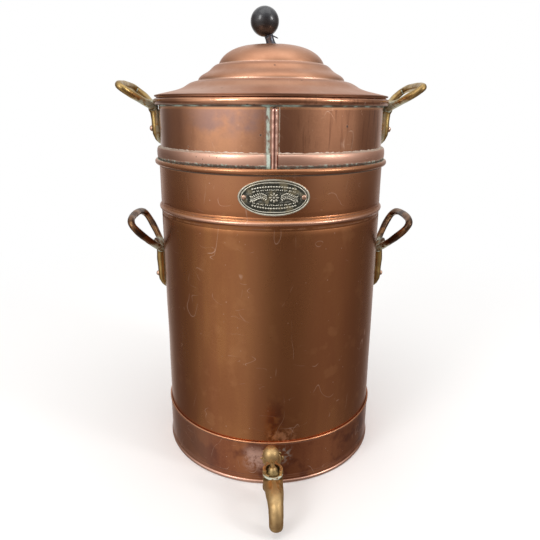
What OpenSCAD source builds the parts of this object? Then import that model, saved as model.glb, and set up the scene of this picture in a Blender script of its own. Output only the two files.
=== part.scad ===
// A copper draw-off boiler: a wired tank on a base band, a lift-out strainer pan,
// a stepped lid with a ball knob, four loop handles and a plug tap.
// Frame: millimetres, +Z up, floor at z = 0, tank axis on Z, the tap to the front at -Y.

/* [Tank] */
// Outside radius of the tank wall
tank_r = 150; // [125:1:180]
// Height of the middle of the tank's wired rim
tank_rim_z = 410.6; // [370:0.2:495]
// Thickness of the copper sheet
sheet = 1.5; // [1.2:0.1:1.8]
// Radius of the roll around the tank's rim wire
tank_roll_r = 3.5; // [3:0.1:4.2]
// Depth of the swaged bead below the tank's rim
swage_down = 59.1; // [58.5:0.1:66]
// How far the swaged bead stands out
swage_r = 2.5; // [1.5:0.1:3]
// Height of the tank's bottom plate above the floor
bottom_z = 24; // [20:0.5:25]

/* [Base band] */
// Height of the base band
band_h = 62.6; // [58:0.2:76]
// Radius of the roll at the foot of the band
foot_roll_r = 3.1; // [2.8:0.1:3.6]
// Radius of the band's folded top edge
band_edge_r = 1.3; // [1:0.1:1.6]

/* [Name plate] */
// Width of the oval plate
plate_w = 82; // [66:1:100]
// Height of the oval plate
plate_h = 42; // [34:1:46]
// Depth of the plate's middle below the tank's rim
plate_down = 28.6; // [27.5:0.1:30.5]
// Thickness of the plate
plate_t = 1.2; // [0.8:0.1:1.6]
// Distance between the plate's rivets
plate_rivet_gap = 68; // [52:1:70]

/* [Handles] */
// Radius of a handle's bar
bar_r = 4.8; // [4:0.1:5.6]
// Half the width of a handle's loop, at the middle of the bar
loop_half_w = 44; // [36:1:52]
// Depth of a handle's loop, from its neck to its grip
loop_d = 54; // [48:1:65]
// Height of the rivets in the tank handles
tank_handle_z = 247; // [225:1:265]
// Tilt of the tank handles' loops above level
tank_handle_tilt = 54; // [46:1:60]
// Height of the pan handles' rivets above the tank rim
pan_handle_up = 40.4; // [38:0.2:42]
// Tilt of the pan handles' loops above level
pan_handle_tilt = 36; // [32:1:40]
// Radius of a handle rivet's shank
handle_rivet_r = 2.2; // [1.8:0.1:2.6]

/* [Tap] */
// Height of the tap's shank above the floor
tap_z = 40; // [38:0.5:46]
// Distance from the tank wall to the tap's barrel
tap_out = 40; // [34:1:50]
// Radius of the tap's shank
shank_r = 8; // [7:0.1:9]
// Outside radius of the barrel
barrel_r = 12.7; // [12.2:0.1:15]
// Radius of the turning plug
plug_r = 8.45; // [7.4:0.05:8.8]
// Radius of the ball on the plug
tap_ball_r = 10; // [8:0.5:12]
// Radius of the water passage
passage_r = 5; // [4:0.1:5.4]
// Outside radius at the end of the spout
spout_end_r = 8.6; // [8:0.1:9.4]
// Distance from the barrel's axis to the spout's outlet
spout_reach = 51; // [46:1:62]
// Angle that the plug turns through, from shut to open
tap_turn = 90; // [60:1:90]

/* [Pan] */
// Gap all round between the pan and the tank's mouth
pan_gap = 1.2; // [0.9:0.1:1.8]
// Depth of the pan below the tank's rim
pan_depth = 70; // [56:1:84]
// Height of the pan's wired rim above the tank's rim
pan_rise = 74.4; // [73:0.2:90]
// Radius of the roll around the pan's rim wire
pan_roll_r = 4.5; // [4:0.1:5]
// Height of the half-round stop bead
bead_h = 16; // [12:0.5:18]
// How far the stop bead stands out from the pan
bead_out = 4.9; // [4.7:0.1:6]
// Half the width of the seam strip
strip_r = 4.2; // [3.4:0.1:5]
// Radius of a strainer hole
strainer_hole_r = 3.5; // [2.5:0.1:4]
// Number of rings of strainer holes
strainer_rings = 6; // [4:1:8]

/* [Lid] */
// Height of the lid above the pan's rim
lid_h = 65.3; // [60:0.1:85]
// Radius of the lid's crown
crown_r = 68.5; // [55:0.5:82]
// Height of the crown
crown_h = 23.6; // [18:0.1:32]
// Radius of the lid's middle step
step_r = 95.8; // [88:0.2:115]
// Height of the middle step
step_h = 20.6; // [15:0.1:23]
// How far the lid's edge overhangs the pan wall
lid_overhang = 5.2; // [4.5:0.1:6.5]
// Depth of the collar that holds the lid in the pan
collar_h = 14; // [8:0.5:20]

/* [Knob] */
// Radius of the ball knob
knob_r = 18.2; // [15:0.1:22]
// Length of the neck under the ball
neck_h = 11; // [6:0.1:14]
// Radius of the neck
neck_r = 5.5; // [5:0.1:7]
// How far the knob's stud is bent over
knob_lean = 17; // [0:1:22]
// Radius of the knob's stud
stud_r = 3; // [2.4:0.1:3.4]

/* [Clearances] */
// Gap between pieces that are soldered, riveted or pushed together
joint_gap = 0.05; // [0.02:0.01:0.08]
// Gap between pieces that stand on each other and lift apart
seat_gap = 0.3; // [0.2:0.05:0.5]
// Radial running clearance of the plug in its barrel
plug_gap = 0.05; // [0.02:0.01:0.09]

/* [Hidden] */
$fn = 96;

COPPER = [0.62, 0.34, 0.22];
ROSE = [0.72, 0.47, 0.36];
BRASS = [0.68, 0.53, 0.27];
IRON = [0.33, 0.33, 0.34];
WHITE_METAL = [0.55, 0.54, 0.48];
BLACK = [0.08, 0.08, 0.09];

// Tank
tank_in_r = tank_r - sheet;
roll_t = 1;
tank_roll_c = tank_in_r + tank_roll_r;
tank_z0 = bottom_z - 12;
swage_groove_r = 1;
swage_z = tank_rim_z - swage_down;

// Base band
band_in_r = tank_r + joint_gap;
band_r = band_in_r + sheet;
foot_flat = 0.35;
foot_c = band_in_r - 0.25;
foot_z = foot_roll_r - foot_flat;

// Name plate
plate_z = tank_rim_z - plate_down;
plate_in_r = tank_r + joint_gap;
plate_r = plate_in_r + plate_t;
plate_rim_w = 2.4;
plate_rim_t = 0.7;
plate_rivet_r = 1.6;
plate_rivet_head_r = 2.8;
plate_rivet_turn = asin(plate_rivet_gap / 2 / plate_r);

// Handles, with rows of [height from the rivet, distance from the wall to the
// middle, half thickness, half width] for the foot
FOOT = [
    [-18, 1.6, 2, 3.2], [-13.5, 4.4, 4.4, 6.6], [-6.5, 6.2, 5.9, 9.3], [2, 6.7, 6.2, 9.8],
    [11, 7, 5.8, 8.8], [21, 7.6, 6.2, 7.8]
];
tank_neck = [8.8, 43.5];
tank_loop_scale = 1;
pan_neck = [12, 30.4];
pan_loop_scale = 0.78;
loop_steps = 6;
bar_fn = 12;
rivet_seat = 12.2;
rivet_head_r = 4;
rivet_head_h = 3.6;
burr_r = 5;
burr_t = 1;
burr_in = 0.15;

// Tap
tap_y = -(tank_r + tap_out);
flange_r = 12.6;
flange_t = 4;
barrel_down = 15;
barrel_up = 14.1;
barrel_z0 = tap_z - barrel_down;
barrel_z1 = tap_z + barrel_up;
notch_z = barrel_z1 - 5.7;
notch_half = tap_turn / 2 + 17;
lug_w = 33;
lug_r = 11.4;
plug_bore_r = plug_r + plug_gap;
cone_z0 = barrel_z1 - 4;
cone_h = 6.5;
tap_neck_r = 2.8;
tap_ball_up = 35.5;
tap_lean = 7;
spout_root_r = 11.2;
bend_r = 20;
spout_drop_end = 8;
spout_yaw = 3;
spout_bore_r = passage_r + 1;
backnut_r = 14;
backnut_t = 6;
gasket_t = 2.4;
gasket_r = 12;
shank_in = 12;

// Pan
pan_r = tank_in_r - pan_gap;
pan_in_r = pan_r - sheet;
pan_z0 = tank_rim_z - pan_depth;
pan_rim_z = tank_rim_z + pan_rise;
pan_roll_c = pan_r + 2.3;
bead_z0 = tank_rim_z + tank_roll_r * sin(45) + seat_gap;
bead_flat_r = tank_roll_c - tank_roll_r * cos(45);
bead_r = pan_r + bead_out;
strip_c = pan_r + strip_r - 3.1;
strip_z0 = tank_rim_z + tank_roll_r + 2 * seat_gap;
strip_z1 = pan_rim_z - pan_roll_r - 1.5;
strainer_lip = 10;

// Lid
lid_t = 1.3;
lid_seat_z = pan_rim_z + pan_roll_r + seat_gap;
lid_top_z = lid_seat_z + lid_h;
lid_edge_r = pan_r + lid_overhang;
crease_z = lid_top_z - crown_h;
step_z = crease_z - step_h;
lid_edge_z = lid_seat_z + 2.8;
ledge_t = 1.1;
collar_r = pan_roll_c - pan_roll_r - 0.7;
hem_z = lid_seat_z + ledge_t + joint_gap;
hem_in = 5.5;

// Knob
tab_washer_t = 1.2;
ball_seat = neck_h + 2 * joint_gap + tab_washer_t;
ball_z = ball_seat + sqrt(knob_r * knob_r - neck_r * neck_r);
tab_len = 9;
bent_r = stud_r - 0.4;
bent_root = 1.5;
nut_r = 6.6;
nut_h = 5;
under_washer_r = 9;
under_washer_t = 1.4;
stud_down = 14;

// Points along a cubic curve
function bezier(p, n) = [
    for (i = [0:n]) let (t = i / n)
        pow(1 - t, 3) * p[0] + 3 * pow(1 - t, 2) * t * p[1] + 3 * (1 - t) * t * t * p[2] + pow(t, 3) * p[3]
];
function tail(list) = [for (i = [1:len(list) - 1]) list[i]];
function unit(v) = v / norm(v);
// A profile moved inwards by a sheet's thickness, square to each stretch
function inset(p, t) = [
    for (i = [0:len(p) - 1])
        let (a = p[max(i - 1, 0)], b = p[min(i + 1, len(p) - 1)], d = unit(b - a))
            [max(p[i][0] + t * d[1], 0), p[i][1] - t * d[0]]
];
function reverse(list) = [for (i = [len(list) - 1:-1:0]) list[i]];

// A ring of wire
module ring_wire(centre_r, z, r) {
    rotate_extrude() translate([centre_r, z]) circle(r, $fn = 32);
}

// Half of a sheet rolled over a wire, with the slit where its end meets the wall
module roll(centre_r, z, r, slit_r) {
    difference() {
        translate([centre_r, z]) circle(r, $fn = 48);
        translate([centre_r, z]) circle(r - roll_t, $fn = 48);
        translate([slit_r, z - r - 1]) square([0.7, r + 1]);
    }
}

// ---------------------------------------------------------------- tank

module wall_holes() {
    // tap shank, handle rivets and plate rivets
    translate([0, 0, tap_z]) rotate([90, 0, 0]) cylinder(r = shank_r + joint_gap, h = tank_r + 20);
    for (side = [0, 180])
        rotate([0, 0, side]) translate([0, 0, tank_handle_z]) rotate([0, 90, 0])
            cylinder(r = handle_rivet_r + joint_gap, h = tank_r + 20, $fn = 32);
    plate_rivet_places() cylinder(r = plate_rivet_r + joint_gap, h = 30, center = true, $fn = 32);
}

module tank_shell() {
    color(COPPER) difference() {
        rotate_extrude() difference() {
            union() {
                translate([tank_in_r, tank_z0]) square([sheet, tank_rim_z - tank_z0]);
                roll(tank_roll_c, tank_rim_z, tank_roll_r, tank_r + 0.1);
                translate([tank_r, swage_z]) circle(swage_r, $fn = 32);
            }
            translate([tank_in_r - 5, swage_z - 5]) square([5, 10]);
            translate([tank_in_r, swage_z]) circle(swage_groove_r, $fn = 32);
            translate([tank_roll_c, tank_rim_z]) circle(tank_roll_r - roll_t, $fn = 48);
        }
        wall_holes();
    }
}

module tank_rim_wire() {
    color(IRON) ring_wire(tank_roll_c, tank_rim_z, tank_roll_r - roll_t - joint_gap);
}

module base_band() {
    color(COPPER) difference() {
        rotate_extrude() difference() {
            union() {
                translate([band_in_r, foot_z]) square([sheet, band_h - foot_z]);
                translate([foot_c, foot_z]) circle(foot_roll_r, $fn = 48);
                translate([band_in_r + band_edge_r, band_h]) circle(band_edge_r, $fn = 32);
            }
            translate([foot_c, foot_z]) circle(foot_roll_r - roll_t, $fn = 48);
            translate([foot_c - 5, -5]) square([10, 5]);
            translate([foot_c - foot_roll_r - 1, foot_z]) square([2.5, 0.7]);
        }
        translate([0, 0, tap_z]) rotate([90, 0, 0]) cylinder(r = shank_r + joint_gap, h = tank_r + 20);
    }
}

module base_rim_wire() {
    color(IRON) ring_wire(foot_c, foot_z, foot_roll_r - roll_t - joint_gap);
}

module tank_bottom() {
    color(COPPER) rotate_extrude() {
        translate([0, bottom_z - sheet]) square([tank_in_r - joint_gap, sheet]);
        translate([tank_in_r - joint_gap - sheet, tank_z0]) square([sheet, bottom_z - tank_z0]);
    }
}

// ---------------------------------------------------------------- name plate

// An upright oval block that crosses the wall at the front
module oval_block(w, h) {
    translate([0, 0, plate_z]) rotate([90, 0, 0]) linear_extrude(tank_r + 20)
        polygon([for (a = [0:5:355]) [w / 2 * cos(a), h / 2 * sin(a)]]);
}

module plate_rivet_places() {
    for (side = [-1, 1])
        rotate([0, 0, side * plate_rivet_turn]) translate([0, -plate_r, plate_z])
            rotate([90, 0, 0]) children();
}

// A ring of the given radii round the tank at the plate's height
module plate_ring(r0, r1) {
    translate([0, 0, plate_z - 40]) difference() {
        cylinder(r = r1, h = 80, $fn = 180);
        translate([0, 0, -1]) cylinder(r = r0, h = 82, $fn = 180);
    }
}

module name_plate() {
    color(WHITE_METAL) difference() {
        union() {
            intersection() {
                plate_ring(plate_in_r, plate_r);
                oval_block(plate_w, plate_h);
            }
            intersection() {
                plate_ring(plate_r - 0.2, plate_r + plate_rim_t);
                difference() {
                    oval_block(plate_w, plate_h);
                    oval_block(plate_w - 2 * plate_rim_w, plate_h - 2 * plate_rim_w);
                }
            }
        }
        plate_rivet_places()
            cylinder(r = plate_rivet_r + joint_gap, h = 10, center = true, $fn = 32);
    }
}

module plate_rivets() {
    color(COPPER) plate_rivet_places() {
        translate([0, 0, -(plate_t + sheet + 0.4)])
            cylinder(r = plate_rivet_r, h = plate_t + sheet + 0.5, $fn = 32);
        translate([0, 0, joint_gap]) dome(plate_rivet_head_r, 1.5);
    }
}

// A dome with a flat base at z = 0, rising to h
module dome(r, h) {
    ball_r = (r * r + h * h) / (2 * h);
    intersection() {
        translate([0, 0, h - ball_r]) sphere(ball_r);
        cylinder(r = r + 1, h = h + 1);
    }
}

// ---------------------------------------------------------------- handles

// Half of a loop: [distance along the loop, distance to the side]
function loop_half(scale_d) =
    let (
        d = loop_d * scale_d,
        w = loop_half_w,
        first = bezier(
            [[-0.12 * d, 0.09 * w], [0.02 * d, 0.38 * w], [0.48 * d, 0.96 * w], [0.76 * d, w]],
            loop_steps
        ),
        last = bezier([[0.76 * d, w], [0.96 * d, w], [d, 0.6 * w], [d, 0]], loop_steps)
    ) concat(first, tail(last));

// One cast handle on a wall of radius wall_r, reaching out to +X, with its rivet at z = 0
module handle(wall_r, neck, tilt, scale_d) {
    half = loop_half(scale_d);
    reach = [cos(tilt), sin(tilt)];
    along = [for (p = half) [wall_r + neck[0] + p[0] * reach[0], p[1], neck[1] + p[0] * reach[1]]];
    for (side = [-1, 1])
        for (i = [0:len(along) - 2])
            hull() {
                for (p = [along[i], along[i + 1]])
                    translate([p[0], side * p[1], p[2]]) sphere(bar_r, $fn = bar_fn);
            }
    top = [neck[1] - 5, neck[0] - 2, bar_r + 1.4, 7.6];
    rows = concat([for (f = FOOT) if (f[0] < top[0] - 4) f], [top]);
    for (i = [0:len(rows) - 2])
        hull() {
            foot_slice(wall_r, rows[i]);
            foot_slice(wall_r, rows[i + 1]);
        }
}

module foot_slice(wall_r, row) {
    translate([wall_r + row[1], 0, row[0]]) scale([row[2], row[3], 2.6]) sphere(1, $fn = 20);
}

// What a handle gives way to: the wall behind it and the rivet with its seat
module handle_cuts(wall_r, z) {
    translate([0, 0, z - 60]) cylinder(r = wall_r + joint_gap, h = 160, $fn = 180);
    translate([0, 0, z]) rotate([0, 90, 0]) {
        cylinder(r = handle_rivet_r + joint_gap, h = wall_r + 30, $fn = 32);
        translate([0, 0, wall_r + rivet_seat]) cylinder(r = rivet_head_r + 0.6, h = 20, $fn = 32);
    }
}

module handle_rivets(wall_r, z, sheet_t) {
    for (side = [0, 180])
        rotate([0, 0, side]) translate([0, 0, z]) rotate([0, 90, 0]) {
            start = wall_r - sheet_t - burr_in - burr_t;
            translate([0, 0, start - 0.1])
                cylinder(r = handle_rivet_r, h = sheet_t + burr_in + burr_t + rivet_seat + 0.2, $fn = 32);
            translate([0, 0, wall_r + rivet_seat + joint_gap]) dome(rivet_head_r, rivet_head_h);
            translate([0, 0, start - joint_gap]) mirror([0, 0, 1]) dome(3.6, 1.6);
        }
}

module handle_burrs(wall_r, z, sheet_t) {
    for (side = [0, 180])
        rotate([0, 0, side]) translate([0, 0, z]) rotate([0, 90, 0])
            translate([0, 0, wall_r - sheet_t - burr_in - burr_t]) difference() {
                cylinder(r = burr_r, h = burr_t);
                translate([0, 0, -1]) cylinder(r = handle_rivet_r + joint_gap, h = burr_t + 2, $fn = 32);
            }
}

module tank_handle(side) {
    color(BRASS) rotate([0, 0, side]) difference() {
        translate([0, 0, tank_handle_z]) handle(tank_r, tank_neck, tank_handle_tilt, tank_loop_scale);
        handle_cuts(tank_r, tank_handle_z);
    }
}

module tank_handle_left() { tank_handle(180); }
module tank_handle_right() { tank_handle(0); }
module tank_handle_rivets() { color(COPPER) handle_rivets(tank_r, tank_handle_z, sheet); }
module tank_handle_burrs() { color(COPPER) handle_burrs(tank_r, tank_handle_z, sheet); }

// ---------------------------------------------------------------- tap

module tap_flange() {
    color(BRASS) difference() {
        translate([0, -band_r + 2, tap_z]) rotate([90, 0, 0]) cylinder(r = flange_r, h = flange_t + 2);
        cylinder(r = band_r + joint_gap, h = 100, $fn = 180);
        translate([0, 0, tap_z]) rotate([90, 0, 0]) cylinder(r = shank_r + joint_gap, h = tank_r + 40);
    }
}

// The spout's path in its own plane: forward along +X, then down along -Y
module spout_path(root_r, end_r, extra) {
    straight = spout_reach - bend_r;
    rotate([0, 90, 0]) cylinder(r1 = root_r, r2 = end_r, h = straight);
    translate([straight, -bend_r, 0]) rotate_extrude(angle = 90) translate([bend_r, 0]) circle(end_r);
    translate([spout_reach, -bend_r, 0]) rotate([90, 0, 0]) cylinder(r = end_r, h = spout_drop_end + extra);
}

module place_spout() {
    translate([0, tap_y, tap_z]) rotate([0, 0, spout_yaw]) rotate([90, 0, -90]) children();
}

// A slice of pie round the barrel's axis, between two turns counted from the front
module pie(from, to, r, z0, z1) {
    translate([0, tap_y, z0]) rotate([0, 0, -90]) linear_extrude(z1 - z0)
        polygon(concat(
            [[0, 0]],
            [for (i = [0:8]) let (a = from + (to - from) * i / 8) [r * cos(a), r * sin(a)]]
        ));
}

module tap_body() {
    color(BRASS) difference() {
        union() {
            translate([0, -(tank_in_r - shank_in), tap_z]) rotate([90, 0, 0])
                cylinder(r = shank_r, h = tap_out + sheet + shank_in);
            translate([0, tap_y, barrel_z0]) cylinder(r = barrel_r, h = barrel_z1 - barrel_z0);
            place_spout() spout_path(spout_root_r, spout_end_r, 0);
        }
        translate([0, tap_y, barrel_z0 - 1]) cylinder(r = plug_bore_r, h = 40);
        translate([0, -(tank_in_r - shank_in) + 1, tap_z]) rotate([90, 0, 0])
            cylinder(r = passage_r, h = tap_out + sheet + shank_in);
        place_spout() spout_path(passage_r, spout_bore_r, 1);
        pie(-notch_half, notch_half, 30, notch_z, barrel_z1 + 5);
    }
}

module tap_gasket() {
    color([0.25, 0.18, 0.12]) difference() {
        intersection() {
            translate([0, -(tank_in_r - gasket_t), tap_z]) rotate([90, 0, 0]) cylinder(r = gasket_r, h = 6);
            cylinder(r = tank_in_r - joint_gap, h = 100, $fn = 180);
        }
        translate([0, 0, tap_z]) rotate([90, 0, 0]) cylinder(r = shank_r + joint_gap, h = tank_r);
    }
}

module tap_backnut() {
    color(BRASS) translate([0, -(tank_in_r - gasket_t - joint_gap - backnut_t), tap_z]) rotate([90, 0, 0])
        difference() {
            cylinder(r = backnut_r, h = backnut_t, $fn = 6);
            translate([0, 0, -1]) cylinder(r = shank_r + joint_gap, h = backnut_t + 2);
        }
}

module tap_plug() {
    plug_z0 = barrel_z0 - seat_gap;
    color(BRASS) difference() {
        union() {
            translate([0, tap_y, plug_z0]) cylinder(r = plug_r, h = cone_z0 - plug_z0);
            translate([0, tap_y, cone_z0]) cylinder(r1 = plug_r, r2 = tap_neck_r, h = cone_h);
            translate([0, tap_y, cone_z0 + cone_h - 0.5]) rotate([0, -tap_lean, 0]) {
                neck = tap_z + tap_ball_up - cone_z0 - cone_h;
                cylinder(r = tap_neck_r, h = neck);
                translate([0, 0, neck]) sphere(tap_ball_r);
            }
            intersection() {
                pie(-notch_half + 0.5, -notch_half + 0.5 + lug_w, 30, notch_z + seat_gap, cone_z0);
                translate([0, tap_y, 0]) cylinder(r = lug_r, h = 200);
            }
        }
        translate([-20, tap_y, tap_z]) rotate([0, 90, 0]) cylinder(r = passage_r, h = 40);
        translate([0, tap_y, plug_z0 - 1]) cylinder(r = 2.5 + joint_gap, h = 8.5, $fn = 32);
    }
}

module tap_plug_washer() {
    color(BRASS) translate([0, tap_y, barrel_z0 - seat_gap - joint_gap - 1.5]) difference() {
        cylinder(r = barrel_r - 2, h = 1.5);
        translate([0, 0, -1]) cylinder(r = 2.5 + joint_gap, h = 4, $fn = 32);
    }
}

module tap_plug_screw() {
    under = barrel_z0 - seat_gap - 2 * joint_gap - 1.5;
    color(BRASS) translate([0, tap_y, 0]) difference() {
        union() {
            translate([0, 0, under - 3.5]) cylinder(r = 5.5, h = 3.5);
            translate([0, 0, under - 0.5]) cylinder(r = 2.5, h = 9, $fn = 32);
        }
        translate([-6, -0.6, under - 4.5]) cube([12, 1.2, 2.2]);
    }
}

// ---------------------------------------------------------------- pan

module pan_shell() {
    pan_handle_z = tank_rim_z + pan_handle_up;
    color(ROSE) difference() {
        rotate_extrude() difference() {
            union() {
                translate([pan_in_r, pan_z0]) square([sheet, pan_rim_z - pan_z0]);
                roll(pan_roll_c, pan_rim_z, pan_roll_r, pan_r + 0.1);
            }
            translate([pan_roll_c, pan_rim_z]) circle(pan_roll_r - roll_t, $fn = 48);
        }
        for (side = [0, 180])
            rotate([0, 0, side]) translate([0, 0, pan_handle_z]) rotate([0, 90, 0])
                cylinder(r = handle_rivet_r + joint_gap, h = tank_r + 20, $fn = 32);
    }
}

module pan_rim_wire() {
    color(IRON) ring_wire(pan_roll_c, pan_rim_z, pan_roll_r - roll_t - joint_gap);
}

module pan_strainer() {
    r = pan_in_r - joint_gap;
    ring_step = (r - 22) / strainer_rings;
    color(ROSE) difference() {
        rotate_extrude() {
            translate([0, pan_z0]) square([r, sheet]);
            translate([r - sheet, pan_z0]) square([sheet, strainer_lip]);
        }
        translate([0, 0, pan_z0 - 1]) cylinder(r = strainer_hole_r, h = sheet + 2, $fn = 24);
        for (ring = [1:strainer_rings], i = [0:4 * ring - 1])
            rotate([0, 0, i * 360 / (4 * ring)]) translate([ring * ring_step, 0, pan_z0 - 1])
                cylinder(r = strainer_hole_r, h = sheet + 2, $fn = 24);
    }
}

module stop_bead() {
    color(ROSE) difference() {
        rotate_extrude() intersection() {
            union() {
                translate([pan_r + joint_gap, bead_z0]) square([bead_flat_r - pan_r - joint_gap, bead_h]);
                polygon([
                    for (a = [-90:7.5:90])
                        [bead_flat_r + (bead_r - bead_flat_r) * cos(a), bead_z0 + bead_h / 2 * (1 + sin(a))]
                ]);
            }
            translate([pan_r + joint_gap, bead_z0]) square([20, bead_h]);
        }
        translate([-strip_r - joint_gap, -tank_r - 20, bead_z0 - 1])
            cube([2 * (strip_r + joint_gap), 60, bead_h + 2]);
    }
}

module seam_strip() {
    color(ROSE) difference() {
        intersection() {
            union() {
                translate([0, -strip_c, strip_z0]) cylinder(r = strip_r, h = strip_z1 - strip_r - strip_z0);
                translate([0, -strip_c, strip_z1 - strip_r]) sphere(strip_r);
            }
            translate([-strip_r, -strip_c - strip_r, strip_z0]) cube([2 * strip_r, 2 * strip_r, 200]);
        }
        cylinder(r = pan_r + joint_gap, h = 700, $fn = 180);
    }
}

module pan_handle(side) {
    pan_handle_z = tank_rim_z + pan_handle_up;
    color(BRASS) rotate([0, 0, side]) difference() {
        translate([0, 0, pan_handle_z]) handle(pan_r, pan_neck, pan_handle_tilt, pan_loop_scale);
        handle_cuts(pan_r, pan_handle_z);
        ring_wire(pan_roll_c, pan_rim_z, pan_roll_r + joint_gap);
    }
}

module pan_handle_left() { pan_handle(180); }
module pan_handle_right() { pan_handle(0); }
module pan_handle_rivets() { color(COPPER) handle_rivets(pan_r, tank_rim_z + pan_handle_up, sheet); }
module pan_handle_burrs() { color(COPPER) handle_burrs(pan_r, tank_rim_z + pan_handle_up, sheet); }

// ---------------------------------------------------------------- lid

// The lid's outside, from the middle out: crown, middle step and skirt. Each row is
// one curve's four points and its number of steps.
function lid_outside() =
    let (
        z = lid_top_z,
        flat_r = crown_r * 0.26,
        mid_r = (crown_r + step_r) / 2,
        mid_z = crease_z - 9,
        skirt_r = step_r + 18,
        skirt_z = step_z - 7.3,
        rows = [
            [[flat_r, z], [crown_r * 0.66, z], [crown_r * 0.94, z - 0.45 * crown_h], [crown_r, crease_z], 10],
            [[crown_r, crease_z], [crown_r + 7, crease_z - 1], [mid_r - 5, mid_z + 3.6], [mid_r, mid_z], 5],
            [[mid_r, mid_z], [mid_r + 4, mid_z - 3], [step_r - 0.7, step_z + 6.2], [step_r, step_z], 6],
            [
                [step_r, step_z], [step_r + 10, step_z - 1.8],
                [skirt_r - 6, skirt_z + 3.8], [skirt_r, skirt_z], 5
            ],
            [
                [skirt_r, skirt_z], [skirt_r + 8, skirt_z - 5],
                [lid_edge_r - 16, lid_edge_z + 4.2], [lid_edge_r, lid_edge_z], 8
            ]
        ]
    ) concat([[0, z], [flat_r, z]], [for (row = rows) each tail(bezier(row, row[4]))]);

module lid_shell() {
    outside = lid_outside();
    inside = inset(outside, lid_t);
    under = [for (p = inside) if (p[0] < lid_edge_r - hem_in - 0.5) p];
    hem = [[lid_edge_r, hem_z], [lid_edge_r - hem_in, hem_z]];
    color(ROSE) difference() {
        rotate_extrude() polygon(concat(outside, hem, reverse(under)));
        translate([0, 0, lid_top_z - 10]) cylinder(r = stud_r + joint_gap, h = 20, $fn = 32);
    }
}

module lid_collar() {
    color(ROSE) rotate_extrude() {
        translate([collar_r - ledge_t, lid_seat_z - collar_h]) square([ledge_t, collar_h + ledge_t]);
        translate([collar_r - ledge_t, lid_seat_z]) square([lid_edge_r - 2.5 - collar_r + ledge_t, ledge_t]);
    }
}

// ---------------------------------------------------------------- knob

// Stands a piece on the lid's top and leans it over with the bent stud
module on_stud() {
    translate([0, 0, lid_top_z]) rotate([0, -knob_lean, 0]) children();
}

module knob_neck() {
    color(IRON) difference() {
        on_stud() rotate_extrude()
            polygon([[0, -4], [neck_r + 0.9, -4], [neck_r, 4], [neck_r, neck_h], [0, neck_h]]);
        translate([-30, -30, lid_top_z + joint_gap - 40]) cube([60, 60, 40]);
        on_stud() translate([0, 0, -5]) cylinder(r = bent_r + joint_gap, h = 25, $fn = 32);
    }
}

module knob_tab_washer() {
    color(IRON) on_stud() translate([0, 0, neck_h + joint_gap]) difference() {
        union() {
            cylinder(r = neck_r, h = tab_washer_t);
            translate([neck_r - 2, 0, 0]) rotate([0, 40, 0]) linear_extrude(tab_washer_t)
                polygon([[0, -3], [tab_len - 3, -2.2], [tab_len, 0], [tab_len - 3, 2.2], [0, 3]]);
        }
        translate([0, 0, -5]) cylinder(r = bent_r + joint_gap, h = 10, $fn = 32);
        translate([-20, -20, tab_washer_t]) cube([40, 40, 10]);
        translate([0, 0, -20]) cylinder(r = neck_r + joint_gap, h = 20);
    }
}

module knob_ball() {
    color(BLACK) on_stud() difference() {
        translate([0, 0, ball_z]) sphere(knob_r);
        translate([0, 0, ball_seat - 20]) cylinder(r = knob_r, h = 20);
        translate([0, 0, ball_seat - 1]) cylinder(r = bent_r + joint_gap, h = knob_r + 1, $fn = 32);
    }
}

module knob_stud() {
    color(IRON) union() {
        on_stud() translate([0, 0, -bent_root])
            cylinder(r = bent_r, h = bent_root + ball_seat + knob_r - 1, $fn = 32);
        translate([0, 0, lid_top_z - stud_down]) cylinder(r = stud_r, h = stud_down, $fn = 32);
    }
}

module knob_under_washer() {
    color(IRON) translate([0, 0, lid_top_z - lid_t - joint_gap - under_washer_t]) difference() {
        cylinder(r = under_washer_r, h = under_washer_t);
        translate([0, 0, -1]) cylinder(r = stud_r + joint_gap, h = 4, $fn = 32);
    }
}

module knob_nut() {
    color(IRON) translate([0, 0, lid_top_z - lid_t - 2 * joint_gap - under_washer_t - nut_h]) difference() {
        cylinder(r = nut_r, h = nut_h, $fn = 6);
        translate([0, 0, -1]) cylinder(r = stud_r + joint_gap, h = nut_h + 2, $fn = 32);
    }
}

tank_shell();
base_band();
tank_bottom();
tank_rim_wire();
base_rim_wire();
name_plate();
plate_rivets();
tank_handle_left();
tank_handle_right();
tank_handle_rivets();
tank_handle_burrs();
tap_flange();
tap_body();
tap_gasket();
tap_backnut();
tap_plug();
tap_plug_washer();
tap_plug_screw();
pan_shell();
pan_strainer();
pan_rim_wire();
stop_bead();
seam_strip();
pan_handle_left();
pan_handle_right();
pan_handle_rivets();
pan_handle_burrs();
lid_shell();
lid_collar();
knob_ball();
knob_neck();
knob_tab_washer();
knob_stud();
knob_under_washer();
knob_nut();
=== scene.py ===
# %% [markdown]
# # A copper boiler with a lift-out pan
# This lesson dresses a finished mechanical model of an old copper boiler: a tank on a base
# band, a pan that lifts out, a stepped lid, four cast handles and a plug tap. The mechanical
# model is the frame. It fixes every size and every joint, and nothing here moves it. What is
# made here is what the eye sees: the rolled and swaged sheet, the melted look of the
# castings, the stamped plate, and the brown, pink and green of old metal.

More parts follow.
